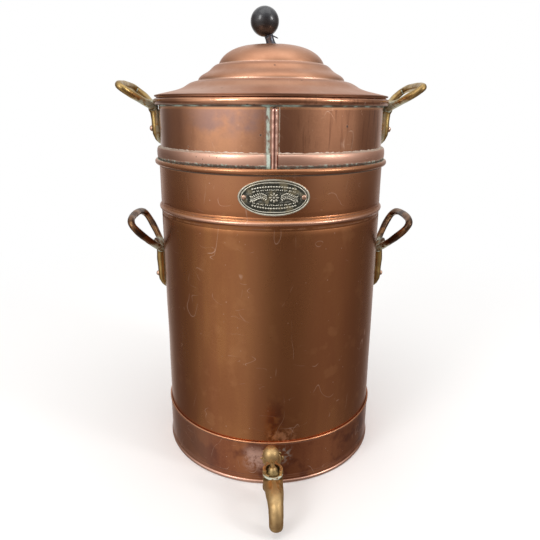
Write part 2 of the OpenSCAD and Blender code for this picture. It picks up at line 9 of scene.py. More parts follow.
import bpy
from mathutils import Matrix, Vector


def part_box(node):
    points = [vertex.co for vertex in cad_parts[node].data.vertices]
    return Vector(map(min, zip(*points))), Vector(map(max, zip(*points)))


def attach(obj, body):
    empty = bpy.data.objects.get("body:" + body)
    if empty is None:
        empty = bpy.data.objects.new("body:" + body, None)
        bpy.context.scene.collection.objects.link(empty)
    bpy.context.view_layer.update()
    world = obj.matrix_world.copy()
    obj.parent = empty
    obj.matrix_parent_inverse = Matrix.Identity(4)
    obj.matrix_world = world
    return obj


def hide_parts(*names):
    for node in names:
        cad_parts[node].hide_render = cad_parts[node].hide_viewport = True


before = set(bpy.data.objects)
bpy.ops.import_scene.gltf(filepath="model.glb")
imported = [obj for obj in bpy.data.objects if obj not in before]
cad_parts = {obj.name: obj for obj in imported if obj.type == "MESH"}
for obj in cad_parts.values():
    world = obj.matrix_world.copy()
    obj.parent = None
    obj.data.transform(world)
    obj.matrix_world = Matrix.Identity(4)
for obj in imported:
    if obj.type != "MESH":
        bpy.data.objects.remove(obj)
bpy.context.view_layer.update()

# %% The other modules
import math

import bmesh
import bpy
import numpy as np
from mathutils import Matrix, Vector, noise

# %% [markdown]
# ## Sizes
# Shapes are written in millimetres, because that is how a coppersmith thinks, and are turned
# into metres once, when a mesh is made. The places come from the frame: a ring of wire, for
# example, tells where the roll around it sits.

# %% Read sizes from the frame
MM = 0.001


def box_mm(node):
    """Lowest and highest corner of a node of the frame, in millimetres."""
    low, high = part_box(node)
    return low * 1000, high * 1000


def ring_mm(node):
    """Radius of the ring, its height and the thickness of its wire, from a ring of wire."""
    low, high = box_mm(node)
    wire = (high.z - low.z) / 2
    return high.x - wire, (high.z + low.z) / 2, wire


SHEET = 1.5
SOLDER_GAP = 0.05
ROLL_SHEET = 1.0
TANK_R = box_mm("tank_bottom")[1].x + SOLDER_GAP + SHEET
PAN_R = box_mm("pan_strainer")[1].x + SOLDER_GAP + SHEET
print(f"tank radius {TANK_R:.1f} mm, pan radius {PAN_R:.1f} mm")

# %% [markdown]
# ## From outlines to meshes
# Nearly every sheet part of a boiler is round, so one function turns an outline of radius
# and height points about the tank's axis. A solid of that kind could also be made with the
# Screw modifier. Doing it in code lets each point be pushed a little, so that the sheet is
# as uneven as hand-worked copper is.


# %% Curves for outlines
def arc(centre_r, centre_z, radius, start, stop, steps):
    """Points along a circle, between two angles in degrees."""
    angles = [math.radians(start + (stop - start) * i / steps) for i in range(steps + 1)]
    return [(centre_r + radius * math.cos(a), centre_z + radius * math.sin(a)) for a in angles]


def bezier(first, second, third, last, steps):
    """Points along a cubic curve, as tuples."""
    found = []
    corners = (first, second, third, last)
    for i in range(steps + 1):
        t = i / steps
        weights = ((1 - t) ** 3, 3 * (1 - t) ** 2 * t, 3 * (1 - t) * t * t, t ** 3)
        found.append(tuple(sum(w * c[k] for w, c in zip(weights, corners)) for k in (0, 1)))
    return found


def crease(radius, height, depth, half_width):
    """A shallow groove in an upright wall, drawn upwards."""
    shares = (0, 0.5, 1, 0.5, 0)
    return [
        (radius - depth * share, height + half_width * (i - 2) / 2)
        for i, share in enumerate(shares)
    ]


def with_rows(outline, longest):
    """The same outline with long straight runs cut into rows."""
    found = []
    for here, there in zip(outline, outline[1:] + outline[:1]):
        pieces = max(1, math.ceil(math.dist(here, there) / longest))
        for i in range(pieces):
            found.append(tuple(a + (b - a) * i / pieces for a, b in zip(here, there)))
    return found


# %% Turn an outline about the axis
def even(count, gap=0):
    """Angles for a full turn, or for a turn with a gap in degrees left open at the front."""
    if not gap:
        return [math.tau * k / count for k in range(count)]
    half = math.radians(gap) / 2
    return [half + (math.tau - 2 * half) * k / count for k in range(count + 1)]


def quads(rows, columns, wrap_rows=False):
    """Faces between rows of points. Each row is closed into a ring."""
    last = rows if wrap_rows else rows - 1
    return [
        (k * columns + i, (k + 1) % rows * columns + i, (k + 1) % rows * columns + (i + 1) % columns,
         k * columns + (i + 1) % columns)
        for k in range(last)
        for i in range(columns)
    ]


def lathe(outline, angles, push=None, closed=True):
    """Points and faces of a closed outline turned about the axis. Angle 0 is the front.
    A turn that isn't closed gets a face on each of its two ends."""
    points = []
    for angle in angles:
        for radius, height in outline:
            if push:
                radius, height = push(angle, radius, height)
            points.append((radius * math.sin(angle), -radius * math.cos(angle), height))
    count = len(outline)
    faces = quads(len(angles), count, closed)
    if not closed:
        faces += [tuple(range(count)), tuple(range(len(points) - count, len(points)))]
    return points, faces


def uneven(angle, height, size, depth, seed):
    """The soft waves of hand-worked sheet, of a given size across and depth."""
    place = Vector((TANK_R * math.sin(angle), -TANK_R * math.cos(angle), height)) / size
    return depth * noise.noise(place + Vector((seed, 2 * seed, 3 * seed)))


# %% [markdown]
# Handles and spouts are bars that follow a line. The next function carries an ellipse along
# a list of points and turns it as little as it can from one to the next.


# %% Carry an ellipse along a line
def bar(points, sizes, sides=28, up=Vector((0, 1, 0))):
    """A closed bar through the points. Each size is (half across up, half along up)."""
    line = [Vector(p) for p in points]
    rings = []
    for i, here in enumerate(line):
        ahead = (line[min(i + 1, len(line) - 1)] - line[max(i - 1, 0)]).normalized()
        across = ahead.cross(up).normalized()
        rise = across.cross(ahead).normalized()
        half_across, half_up = sizes[i]
        for k in range(sides):
            a = math.tau * k / sides
            rings.append(here + across * half_across * math.cos(a) + rise * half_up * math.sin(a))
    faces = quads(len(line), sides)
    faces += [tuple(range(sides)), tuple(range(len(rings) - sides, len(rings)))]
    return [tuple(p) for p in rings], faces


def placed(shape, matrix):
    """The same shape, moved and turned."""
    points, faces = shape
    return [tuple(matrix @ Vector(p)) for p in points], faces


def joined(*shapes):
    """Several shapes as one list of points and faces."""
    points, faces = [], []
    for more_points, more_faces in shapes:
        faces += [tuple(i + len(points) for i in face) for face in more_faces]
        points += more_points
    return points, faces


# %% [markdown]
# ## Meshes and castings
# A turned shape becomes a mesh as it is. A casting is different: sand moulds leave no sharp
# inside corner, so its shapes are laid over each other, melted together by a voxel Remesh
# modifier and smoothed a little. Holes are cut after that, with a Boolean modifier, because
# real holes are drilled after casting and keep a crisp edge.


# %% Make meshes
def new_mesh(name, shape):
    """A mesh in metres, its doubled points merged and its faces turned outwards."""
    points, faces = shape
    mesh = bpy.data.meshes.new(name)
    mesh.from_pydata([tuple(MM * c for c in p) for p in points], [], faces)
    work = bmesh.new()
    work.from_mesh(mesh)
    bmesh.ops.remove_doubles(work, verts=work.verts, dist=0.001 * MM)
    bmesh.ops.recalc_face_normals(work, faces=work.faces)
    work.to_mesh(mesh)
    work.free()
    return mesh


def helper(name, mesh):
    """A passing object that modifiers can use."""
    made = bpy.data.objects.new(name, mesh)
    bpy.context.scene.collection.objects.link(made)
    return made


def cast_mesh(name, shape, voxel, rounds, cuts=()):
    """Shapes melted into one casting, then cut with each shape in cuts."""
    body = helper(name + "_work", new_mesh(name + "_work", shape))
    melt = body.modifiers.new("melt", "REMESH")
    melt.mode = "VOXEL"
    melt.voxel_size = voxel * MM
    soften = body.modifiers.new("soften", "SMOOTH")
    soften.iterations = rounds
    tools = [helper(f"{name}_cut", new_mesh(f"{name}_cut", cut)) for cut in cuts]
    for tool in tools:
        drill = body.modifiers.new("drill", "BOOLEAN")
        drill.operation = "DIFFERENCE"
        drill.solver = "MANIFOLD"
        drill.object = tool
    bpy.context.view_layer.update()
    seen = body.evaluated_get(bpy.context.evaluated_depsgraph_get())
    made = bpy.data.meshes.new_from_object(seen)
    made.name = name
    for passing in (body, *tools):
        old = passing.data
        bpy.data.objects.remove(passing)
        bpy.data.meshes.remove(old)
    return made


# %% [markdown]
# Dirt stays in hollows and wear shows on edges. Each casting carries that knowledge as a
# value at every point: how far the point lies below the average of its neighbours. The
# materials read it under the name hollow.


# %% Mark the hollows, and roughen a surface
def rows_of(collection, name):
    """One vector per item of a mesh collection, as rows of numbers."""
    found = np.empty(len(collection) * 3)
    collection.foreach_get(name, found)
    return found.reshape(-1, 3)


def mark_hollows(mesh, rounds, reach):
    """Stores 0 on a ridge, 0.5 on the flat and 1 in a hollow, reach being the depth in mm."""
    count = len(mesh.vertices)
    places = rows_of(mesh.vertices, "co")
    ends = np.empty(len(mesh.edges) * 2, int)
    mesh.edges.foreach_get("vertices", ends)
    start, stop = ends.reshape(-1, 2).T
    both, other = np.concatenate((start, stop)), np.concatenate((stop, start))
    shares = np.maximum(np.bincount(both, minlength=count), 1)
    smooth = places
    for _ in range(rounds):
        sums = [np.bincount(both, smooth[other, k], count) / shares for k in range(3)]
        smooth = np.stack(sums, 1)
    depth = ((smooth - places) * rows_of(mesh.vertex_normals, "vector")).sum(1) / (reach * MM)
    layer = mesh.attributes.new("hollow", "FLOAT", "POINT")
    layer.data.foreach_set("value", np.clip(0.5 + 0.5 * depth, 0, 1).astype(np.float32))


def roughen(mesh, size, depth, seed):
    """Pushes every point in or out by soft noise, size and depth in mm."""
    shift = Vector((seed, 5 * seed, 9 * seed))
    places = rows_of(mesh.vertices, "co")
    waves = np.array([noise.noise(Vector(p) / (size * MM) + shift) for p in places])
    places += rows_of(mesh.vertex_normals, "vector") * waves[:, None] * depth * MM
    mesh.vertices.foreach_set("co", places.ravel())
    mesh.update()


# %% Add a piece to the scene
def add_piece(name, mesh, body, material, stands_for=(), corner=35):
    """Shows a mesh, lets it ride on a body, and hides the nodes it stands for."""
    mesh.materials.clear()
    mesh.materials.append(material)
    mesh.shade_smooth()
    mesh.set_sharp_from_angle(angle=math.radians(corner))
    piece = helper(name, mesh)
    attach(piece, body)
    if stands_for:
        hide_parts(*stands_for)
    print(f"{name}: {len(mesh.polygons)} faces on {body}")
    return piece


def add_casting(name, mesh, body, material, node, rough=None, hollows=None):
    """A casting gets its rough skin, and its hollows are marked, before it is shown."""
    if rough:
        roughen(mesh, *rough)
    if hollows:
        mark_hollows(mesh, *hollows)
    return add_piece(name, mesh, body, material, [node], corner=50)


# %% [markdown]
# ## Camera
# The camera stands a little to the left of the tank's middle and looks down on it. The lens
# is short, so the tank tapers towards its foot and the lid is seen from only slightly above.

# %% Set up the camera
CAMERA_PLACE = (-0.0191, -0.7287, 0.4770)
LOOK_RIGHT, LOOK_DOWN, ROLL = 1.5, 17.23, 0.36
LENS_MM, SENSOR_MM = 34.67, 36

camera_data = bpy.data.cameras.new("camera")
camera_data.lens = LENS_MM
camera_data.sensor_width = SENSOR_MM
camera = helper("camera", camera_data)
camera.matrix_world = (
    Matrix.Translation(CAMERA_PLACE)
    @ Matrix.Rotation(math.radians(-LOOK_RIGHT), 4, "Z")
    @ Matrix.Rotation(math.radians(90 - LOOK_DOWN), 4, "X")
    @ Matrix.Rotation(math.radians(ROLL), 4, "Z")
)
bpy.context.scene.camera = camera
bpy.context.scene.view_settings.view_transform = "Standard"
print("camera height in mm:", round(camera.location.z * 1000))

# %% [markdown]
# ## Shader maths as Python
# A procedural material is a long sum of masks. Written as nodes by hand it is hard to read,
# so a small class wraps one output socket and lets + - * / and ** add the Math nodes. The
# tree it belongs to has one method that adds any other node.


# %% A socket that does arithmetic
class Value:
    """One output socket of a node tree."""

    def __init__(self, tree, socket):
        self.tree, self.socket = tree, socket

    def math(self, operation, *others):
        inputs = dict(enumerate((self, *others)))
        return self.tree.node("ShaderNodeMath", {"operation": operation}, inputs)

    def after(self, operation, first):
        return self.tree.node("ShaderNodeMath", {"operation": operation}, {0: first, 1: self})

    def __abs__(self):
        return self.math("ABSOLUTE")


def operator(operation, reverse):
    """A method that adds one Math node. In reverse the other value comes first."""
    if reverse:
        return lambda self, other: self.after(operation, other)
    return lambda self, other: self.math(operation, other)


SIGNS = {"add": "ADD", "sub": "SUBTRACT", "mul": "MULTIPLY", "truediv": "DIVIDE", "pow": "POWER"}
for sign, operation in SIGNS.items():
    setattr(Value, f"__{sign}__", operator(operation, False))
    setattr(Value, f"__r{sign}__", operator(operation, sign in ("sub", "truediv", "pow")))


# %% A node tree that is written as expressions
class Tree:
    """Adds nodes to a material or a world."""

    def __init__(self, nodes_and_links):
        self.made = nodes_and_links

    def node(self, kind, settings=None, inputs=None, out=0):
        added = self.made.nodes.new(kind)
        for name, setting in (settings or {}).items():
            setattr(added, name, setting)
        for key, value in (inputs or {}).items():
            if isinstance(value, Value):
                self.made.links.new(value.socket, added.inputs[key])
            else:
                added.inputs[key].default_value = value
        return Value(self, added.outputs[out])

    def step(self, value, low, high):
        """0 below low, 1 above high, and a smooth rise between them. low may be the larger."""
        return self.node(
            "ShaderNodeMapRange",
            {"interpolation_type": "SMOOTHSTEP"},
            {0: value, 1: low, 2: high},
        )

    def near(self, value, centre, width):
        """1 at the centre, falling to 0 at the given distance from it."""
        return self.step(abs(value - centre), width, width * 0.25)

    def mix(self, share, first, second):
        """One colour into another."""
        return self.node(
            "ShaderNodeMix", {"data_type": "RGBA"}, {0: share, 6: full(first), 7: full(second)}, out=2
        )

    def split(self, vector):
        """The three parts of a vector."""
        return [self.node("ShaderNodeSeparateXYZ", None, {0: vector}, out=k) for k in range(3)]


def full(colour):
    """A colour as a socket wants it. Links pass through."""
    return colour if isinstance(colour, Value) else (*colour, 1.0)


# %% A material
class Finish(Tree):
    """A material whose masks read the object's own place in millimetres."""

    def __init__(self, name, **uniform):
        self.material = bpy.data.materials.new(name)
        self.material.use_nodes = True
        super().__init__(self.material.node_tree)
        self.shader = self.made.nodes["Principled BSDF"]
        for socket, value in uniform.items():
            self.shader.inputs[socket.replace("_", " ")].default_value = value
        self.place = self.node("ShaderNodeTexCoord", out=3)
        in_mm = self.node("ShaderNodeVectorMath", {"operation": "SCALE"}, {0: self.place, 3: 1000.0})
        self.x, self.y, self.z = self.split(in_mm)
        self.radius = (self.x * self.x + self.y * self.y) ** 0.5
        self.front = self.step(self.y, 20, -20)
        self.bumps = None

    def noise(self, size, detail=3, stretch=(1, 1, 1), shift=0, rough=0.5):
        """Soft noise from 0 to 1, size in mm. Stretch makes it longer along an axis."""
        moved = self.node(
            "ShaderNodeMapping",
            None,
            {0: self.place, 1: (shift, shift, shift), 3: tuple(1 / s for s in stretch)},
        )
        return self.node(
            "ShaderNodeTexNoise",
            None,
            {"Vector": moved, "Scale": 1000 / size, "Detail": detail, "Roughness": rough},
        )

    def patches(self, low, high, *grain, **more):
        """Patches where the noise rises from low to high."""
        return self.step(self.noise(*grain, **more), low, high)

    def ragged(self, size, shift):
        """Noise about 0, to shift the edge of a mask."""
        return self.noise(size, 4, shift=shift) * 2 - 1

    def specks(self, size, share, shift=0):
        """Small dots, on a share of the cells of that size in mm."""
        moved = self.node("ShaderNodeMapping", None, {0: self.place, 1: (shift, shift, shift)})
        cells = {"Vector": moved, "Scale": 1000 / size}
        dots = self.step(self.node("ShaderNodeTexVoronoi", None, cells), 0.28, 0.12)
        chosen = self.split(self.node("ShaderNodeTexVoronoi", None, cells, out=1))[0]
        return dots * self.step(chosen, 1 - share, 1 - share + 0.02)

    def scratches(self, size, width, stretch, shift):
        """Thin wandering lines, broken into short lengths."""
        field = self.noise(size, 1.5, stretch, shift)
        line = self.step(abs(field - 0.5), width, width * 0.3)
        return line * self.patches(0.54, 0.62, size * 0.8, 2, shift=shift + 3)

    def hollow(self):
        """The value that mark_hollows stores."""
        return self.node("ShaderNodeAttribute", {"attribute_name": "hollow"}, out=2)

    def bump(self, height, depth):
        """Adds relief of a depth in mm for a height of 1."""
        inputs = {"Height": height, "Distance": depth * MM}
        if self.bumps:
            inputs["Normal"] = self.bumps
        self.bumps = self.node("ShaderNodeBump", None, inputs)

    def done(self, **linked):
        """Links the masks to the shader and returns the material."""
        if self.bumps:
            linked["Normal"] = self.bumps
        for socket, value in linked.items():
            self.made.links.new(value.socket, self.shader.inputs[socket.replace("_", " ")])
        return self.material


# %% [markdown]
# ## Light
# Metal shows its surroundings more than itself, so the light is a painted sky: a broad soft
# window on the left of the camera, a weaker one on the right, a pale ceiling, and a darker,
# warmer ground. A few large lamps could do the same, but a sky has no edges and takes up no
# room around the object. What the camera sees directly is plain white.

# %% Paint the sky
WINDOWS = (  # degrees right of the camera, half width in degrees, strength above and below
    (-48, 36, 1.0, 0.44),
    (63, 26, 0.75, 0.16),
)
WINDOW_LIGHT = (1.0, 0.985, 0.965)
SHOWN_WHITE = (1.0, 1.0, 1.0)
world = bpy.data.worlds.new("studio")
world.use_nodes = True
bpy.context.scene.world = world
sky = Tree(world.node_tree)
east, north, height = sky.split(sky.node("ShaderNodeTexCoord", out=0))
bearing = east.math("ARCTAN2", north * -1) * (180 / math.pi)
behind = sky.step(abs(bearing), 128, 168)
up = sky.step(height, -0.16, 0.1)
ceiling = sky.step(height, 0.35, 0.75)

ground_colour = sky.mix(up, (0.175, 0.135, 0.115), (0.30, 0.265, 0.245))
room_colour = sky.mix(ceiling, ground_colour, (0.86, 0.85, 0.84))
lit_colour = sky.mix(behind * 0.95, room_colour, (0.95, 0.95, 0.95))
for centre, half_width, above, below in WINDOWS:
    across = sky.step(abs(bearing - centre), half_width * 1.6, half_width * 0.2)
    strength = across * (up * (above - below) + below) * (1 - ceiling * 0.6)
    glow = sky.node("ShaderNodeVectorMath", {"operation": "SCALE"}, {0: WINDOW_LIGHT, 3: strength})
    lit_colour = sky.node("ShaderNodeVectorMath", {"operation": "ADD"}, {0: lit_colour, 1: glow})
seen_straight = sky.node("ShaderNodeLightPath", out=0)
shown = sky.mix(seen_straight, lit_colour, SHOWN_WHITE)
sky.made.links.new(shown.socket, sky.made.nodes["Background"].inputs["Color"])
print("sky with", len(sky.made.nodes), "nodes")

# %% [markdown]
# One lamp from high on the left gives the small bright points that polished balls and rolls
# have, and a second, weaker one does so from the right. The floor is pale. Far out it fades
# into the white of the sky, so that no horizon shows, and shiny metal doesn't reflect it.


# %% Lamps and floor
def lamp(name, place, target, size, watts):
    """A rectangular lamp that points at its target, in metres."""
    data = bpy.data.lights.new(name, "AREA")
    data.shape = "RECTANGLE"
    data.size, data.size_y = size
    data.energy = watts
    made = helper(name, data)
    made.location = place
    made.rotation_euler = (Vector(target) - Vector(place)).to_track_quat("-Z", "Y").to_euler()
    return made


lamp("window_lamp", (-1.25, -1.35, 1.35), (0, 0, 0.35), (0.6, 0.9), 10)
lamp("side_lamp", (1.5, -0.9, 1.15), (0, 0, 0.4), (0.35, 0.6), 7)
lamp("ceiling_lamp", (0.1, -0.3, 2.3), (0, 0, 0.3), (2.2, 1.6), 9)

FLOOR_RADII = (500, 2000, 12000)
floor_turns = np.arange(0, 6.28, 0.13)
floor_points = [(r * math.sin(a), r * math.cos(a), 0) for r in FLOOR_RADII for a in floor_turns]
around = len(floor_turns)
floor_faces = [tuple(range(around))] + quads(len(FLOOR_RADII), around)
floor_finish = Finish("floor", Roughness=0.9)
far_out = floor_finish.step(floor_finish.radius, 350, 1300)
diffuse = floor_finish.node("ShaderNodeBsdfDiffuse", None, {0: (0.93, 0.93, 0.93, 1)})
glowing = floor_finish.node("ShaderNodeEmission", None, {0: (*SHOWN_WHITE, 1)})
faded = floor_finish.node("ShaderNodeMixShader", None, {0: far_out, 1: diffuse, 2: glowing})
floor_finish.made.links.new(faded.socket, floor_finish.made.nodes["Material Output"].inputs["Surface"])
floor = helper("floor", new_mesh("floor", (floor_points, floor_faces)))
floor.data.materials.append(floor_finish.material)
floor.visible_glossy = False
print("floor with", len(floor.data.polygons), "faces")

# %% [markdown]
# ## Old copper
# Copper that has been polished and left again and again is never one colour. Broad brown
# patches come first, then streaks that run down the sheet where water dried, a fine mottle,
# and thin scratches that show brighter metal. The same steps, with other colours and other
# amounts, make the brown tank, the brighter pan and the pink, satin lid.

# %% Colours of the metals
BROWN_COPPER = (0.33, 0.125, 0.056)
GOLD_BROWN = (0.50, 0.222, 0.088)
MAUVE = (0.36, 0.25, 0.26)
FLUX_ORANGE = (0.78, 0.40, 0.22)
VERDIGRIS = (0.40, 0.52, 0.44)
PALE_CRUST = (0.66, 0.74, 0.66)
# Dark of grime, also used as painted shade under the rim rolls and under the stop bead.
GRIME_AND_PAINTED_SHADE = (0.035, 0.03, 0.022)


# %% One recipe for every copper sheet
class Copper(Finish):
    """Aged copper sheet. Its colour and roughness are changed by each layer in turn."""

    def __init__(self, name, clean, aged, patches, rough):
        super().__init__(name)
        broad = self.noise(95, 3, (1, 1, 1.6), shift=1.3)
        runs = self.noise(20, 3, (1, 1, 7), shift=4.1)
        self.mottle = self.noise(2.6, 4, shift=7.7, rough=0.65)
        age = self.step(broad * 0.55 + runs * 0.3 + self.mottle * 0.15, 0.36, 0.64)
        self.colour = self.mix(age * patches, clean, aged)
        self.rough = (rough - 0.06) + 0.1 * age + 0.09 * self.mottle
        self.metal = self.node("ShaderNodeMath", {"operation": "ADD"}, {0: 1.0, 1: 0.0})  # a plain 1
        self.bump(self.noise(38, 2, (1, 1, 2.2), shift=9.2), 0.28)
        self.bump(self.mottle, 0.012)

    def tint(self, share, colour, rough=0):
        """Lays a colour over the metal, which stays metal."""
        self.colour = self.mix(share, self.colour, colour)
        if rough:
            self.rough = self.rough + share * rough

    def crust(self, share, colour, depth=0.12):
        """Lays a dull crust over the metal, such as verdigris or grime, and also lays painted shade under
        rolls, folds and the stop bead.
        """
        grain = self.noise(1.1, 3, shift=12.5)
        self.colour = self.mix(share, self.colour, colour)
        self.metal = self.metal * (1 - share)
        self.rough = self.rough + share * 0.45
        self.bump(share * grain, depth)

    def wear(self, amount):
        """Scratches and small bright marks."""
        lines = self.scratches(46, 0.0035, (1, 1, 2.6), 2.2) + self.scratches(30, 0.003, (2.2, 2.2, 1), 6.1)
        marks = self.specks(3.4, 0.025, 3.3)
        bright = (lines * 0.5 + marks * 0.5) * amount
        self.colour = self.mix(bright, self.colour, (0.80, 0.53, 0.40))
        self.rough = self.rough + bright * 0.1
        self.bump(1 - lines, 0.02)

    def finished(self):
        """Links the three masks and returns the material."""
        return self.done(Base_Color=self.colour, Roughness=self.rough, Metallic=self.metal)


# %% [markdown]
# The tank is the brownest. Verdigris creeps from under its handles, a painted shadow darkens
# the wall under its rim, and the joint with the stop bead above it is green. A thin pale line
# of painted highlight marks the crest of the swaged bead. Painted shade darkens the right
# side, and a golden painted reflection lies on the front middle.

# %% Copper of the tank
RIM_R, RIM_Z, RIM_WIRE = ring_mm("tank_rim_wire")
BAND_TOP = box_mm("base_band")[1].z
plate_low, plate_high = box_mm("name_plate")
PLATE_Z = (plate_low.z + plate_high.z) / 2
SWAGE_Z = PLATE_Z - 30.5
FOOT_SPOT = 16


def handle_dirt(finish, node):
    """Green and black dirt on the wall around the two feet of a pair of handles."""
    low, high = box_mm(node)
    beside = finish.step(abs(finish.y), FOOT_SPOT, 7)
    tall = finish.near(finish.z, low.z + 24, 42)
    ragged = finish.patches(0.42, 0.6, 5, 4, shift=5.5)
    return beside * tall * ragged


def tank_copper():
    """Brown, with runs, a golden painted reflection in the middle, painted shade on the right, a painted
    shadow under the rim, green at the rim's joint, and dirt at the handles.
    """
    metal = Copper("tank_copper", GOLD_BROWN, BROWN_COPPER, 0.75, 0.27)
    bands = metal.patches(0.44, 0.62, 30, 2, (1, 1, 14), shift=2.6)
    metal.tint(bands * 0.32, (0.38, 0.14, 0.07))
    metal.tint(metal.step(metal.z, SWAGE_Z, SWAGE_Z + 6) * 0.45, (0.50, 0.20, 0.10))
    # Painted shade: the right side is darkened, as less light reaches it.
    right = metal.step(metal.x, -35, 25)
    metal.tint(right * 0.3, (0.37, 0.15, 0.07))
    metal.tint(metal.step(metal.z, 355, 400) * 0.35, (0.56, 0.30, 0.17))
    # Painted reflection: a lighter, golden patch on the front middle.
    painted_reflection = metal.near(metal.x, 0, 70) * metal.near(metal.z, 230, 170) * metal.front
    metal.tint(painted_reflection * 0.3, (0.62, 0.31, 0.14))
    stain = metal.patches(0.56, 0.7, 24, 3, shift=8.8)
    metal.tint(stain * 0.3, (0.60, 0.29, 0.13))
    # Painted highlight: a pale line along the crest of the swaged bead.
    crest_highlight = metal.near(metal.z, SWAGE_Z, 3.2) * metal.step(metal.radius, TANK_R + 0.6, TANK_R + 1.8)
    metal.tint(crest_highlight * 0.75, (0.76, 0.46, 0.34))
    over_tap = metal.near(metal.x, 4, 16) * metal.near(metal.z, BAND_TOP + 30, 44) * metal.front
    metal.tint(over_tap * metal.patches(0.35, 0.6, 9, 3, shift=2.9) * 0.6, (0.20, 0.06, 0.04))
    heat = metal.near(metal.x, 12, 26) * metal.near(metal.z, BAND_TOP + 6, 16) * metal.front
    metal.tint(heat * metal.patches(0.42, 0.6, 7, 3, shift=3.9), FLUX_ORANGE, 0.1)
    metal.wear(1.3)
    edge = metal.near(metal.z, SWAGE_Z + 4.5, 0.9) + metal.near(metal.z, SWAGE_Z - 6, 0.8)
    metal.crust(edge * metal.patches(0.35, 0.6, 14, 2, shift=6.6) * 0.8, (0.10, 0.045, 0.025), 0.02)
    # Painted shadow: a dark band on the wall just under the rim roll.
    metal.crust(metal.near(metal.z, RIM_Z - 4.4, 1.7) * 0.9, GRIME_AND_PAINTED_SHADE, 0.05)
    joint = metal.step(metal.z, RIM_Z + 1.6, RIM_Z + 3.0) * metal.step(metal.radius, RIM_R + 1.6, RIM_R - 0.2)
    metal.crust(joint * metal.patches(0.35, 0.55, 4, 3, shift=1.9), VERDIGRIS)
    metal.crust(handle_dirt(metal, "tank_handle_left") * 0.8, (0.30, 0.37, 0.30))
    return metal.finished()


TANK_COPPER = tank_copper()
print(TANK_COPPER.name, len(TANK_COPPER.node_tree.nodes), "nodes")

# %% [markdown]
# The pan is brighter: it is lifted, wiped and polished more than the tank. The light parts
# stay pink, painted shade darkens its left end, its front middle and the slit under its roll,
# a purple-grey cloud shows where it was heated, and mint green solder salts follow the strip
# in front and the underside of the rim.

# %% Copper of the pan
PAN_RIM_R, PAN_RIM_Z, PAN_WIRE = ring_mm("pan_rim_wire")
bead_low, bead_high = box_mm("stop_bead")
strip_low, strip_high = box_mm("seam_strip")


def pan_copper():
    """Brighter, with a heat cloud, drip streaks and green lines of solder salt."""
    metal = Copper("pan_copper", (0.74, 0.38, 0.225), (0.34, 0.145, 0.08), 0.6, 0.15)
    # Painted shade: the left end of the front is darkened.
    shaded_left_end = metal.step(metal.x, -92, -138) * metal.front
    metal.tint(shaded_left_end * 0.6, (0.20, 0.085, 0.05))
    # Painted shade: the front middle, around the strip, is darkened.
    shaded_front_middle = metal.step(metal.x, -26, -6) * metal.step(metal.x, 34, 8) * metal.front
    metal.tint(shaded_front_middle * 0.42, (0.27, 0.115, 0.075))
    cloud = metal.near(metal.x, -50, 70) * metal.near(metal.z, 464, 24) * metal.front
    metal.tint(cloud * metal.patches(0.34, 0.60, 26, 3, shift=5.1) * 0.6, MAUVE, 0.08)
    warm = metal.near(metal.x, -62, 55) * metal.near(metal.z, 440, 16) * metal.front
    metal.tint(warm * metal.patches(0.4, 0.6, 18, 3, shift=2.7) * 0.5, FLUX_ORANGE)
    streaks = metal.patches(0.52, 0.68, 5, 3, (1, 1, 9), shift=6.3)
    metal.tint(streaks * metal.step(metal.x, 10, 40) * 0.5, (0.24, 0.10, 0.06))
    metal.tint(metal.near(metal.z, PAN_RIM_Z - 7.2, 2.4) * 0.8, FLUX_ORANGE)
    metal.wear(1.0)
    ragged = metal.ragged(3.2, 3.4)
    left_line = metal.near(metal.x + ragged * 1.0, strip_low.x - 2.6, 2.9)
    right_line = metal.near(metal.x + ragged, strip_high.x + 1.2, 0.9)
    face = metal.front * metal.step(metal.z, PAN_RIM_Z - 4.0, PAN_RIM_Z - 5.0)
    outline = metal.near(metal.x + ragged * 1.6, strip_low.x - 3.0, 5.2) * face
    metal.crust(outline * 0.7, (0.06, 0.03, 0.022), 0.03)
    broken = metal.patches(0.3, 0.5, 4, 4, (1, 1, 2), shift=9.9)
    metal.crust((left_line * 0.9 + right_line * 0.5) * face * broken, (0.50, 0.60, 0.52), 0.3)
    # Painted shade: a dark band in the slit under the rim roll.
    painted_slit_shade = metal.near(metal.z, PAN_RIM_Z - 4.9, 2.6)
    metal.crust(painted_slit_shade * 0.85, GRIME_AND_PAINTED_SHADE, 0.03)
    under_rim = metal.near(metal.z + ragged * 0.8, PAN_RIM_Z - 5.0, 1.2)
    metal.crust(under_rim * metal.patches(0.42, 0.6, 22, 3, shift=7.9) * 0.8, VERDIGRIS)
    metal.crust(handle_dirt(metal, "pan_handle_left") * 0.8, (0.30, 0.37, 0.30))
    metal.crust(metal.specks(7, 0.05, 8.1) * 0.9, (0.03, 0.018, 0.015), 0.02)
    return metal.finished()


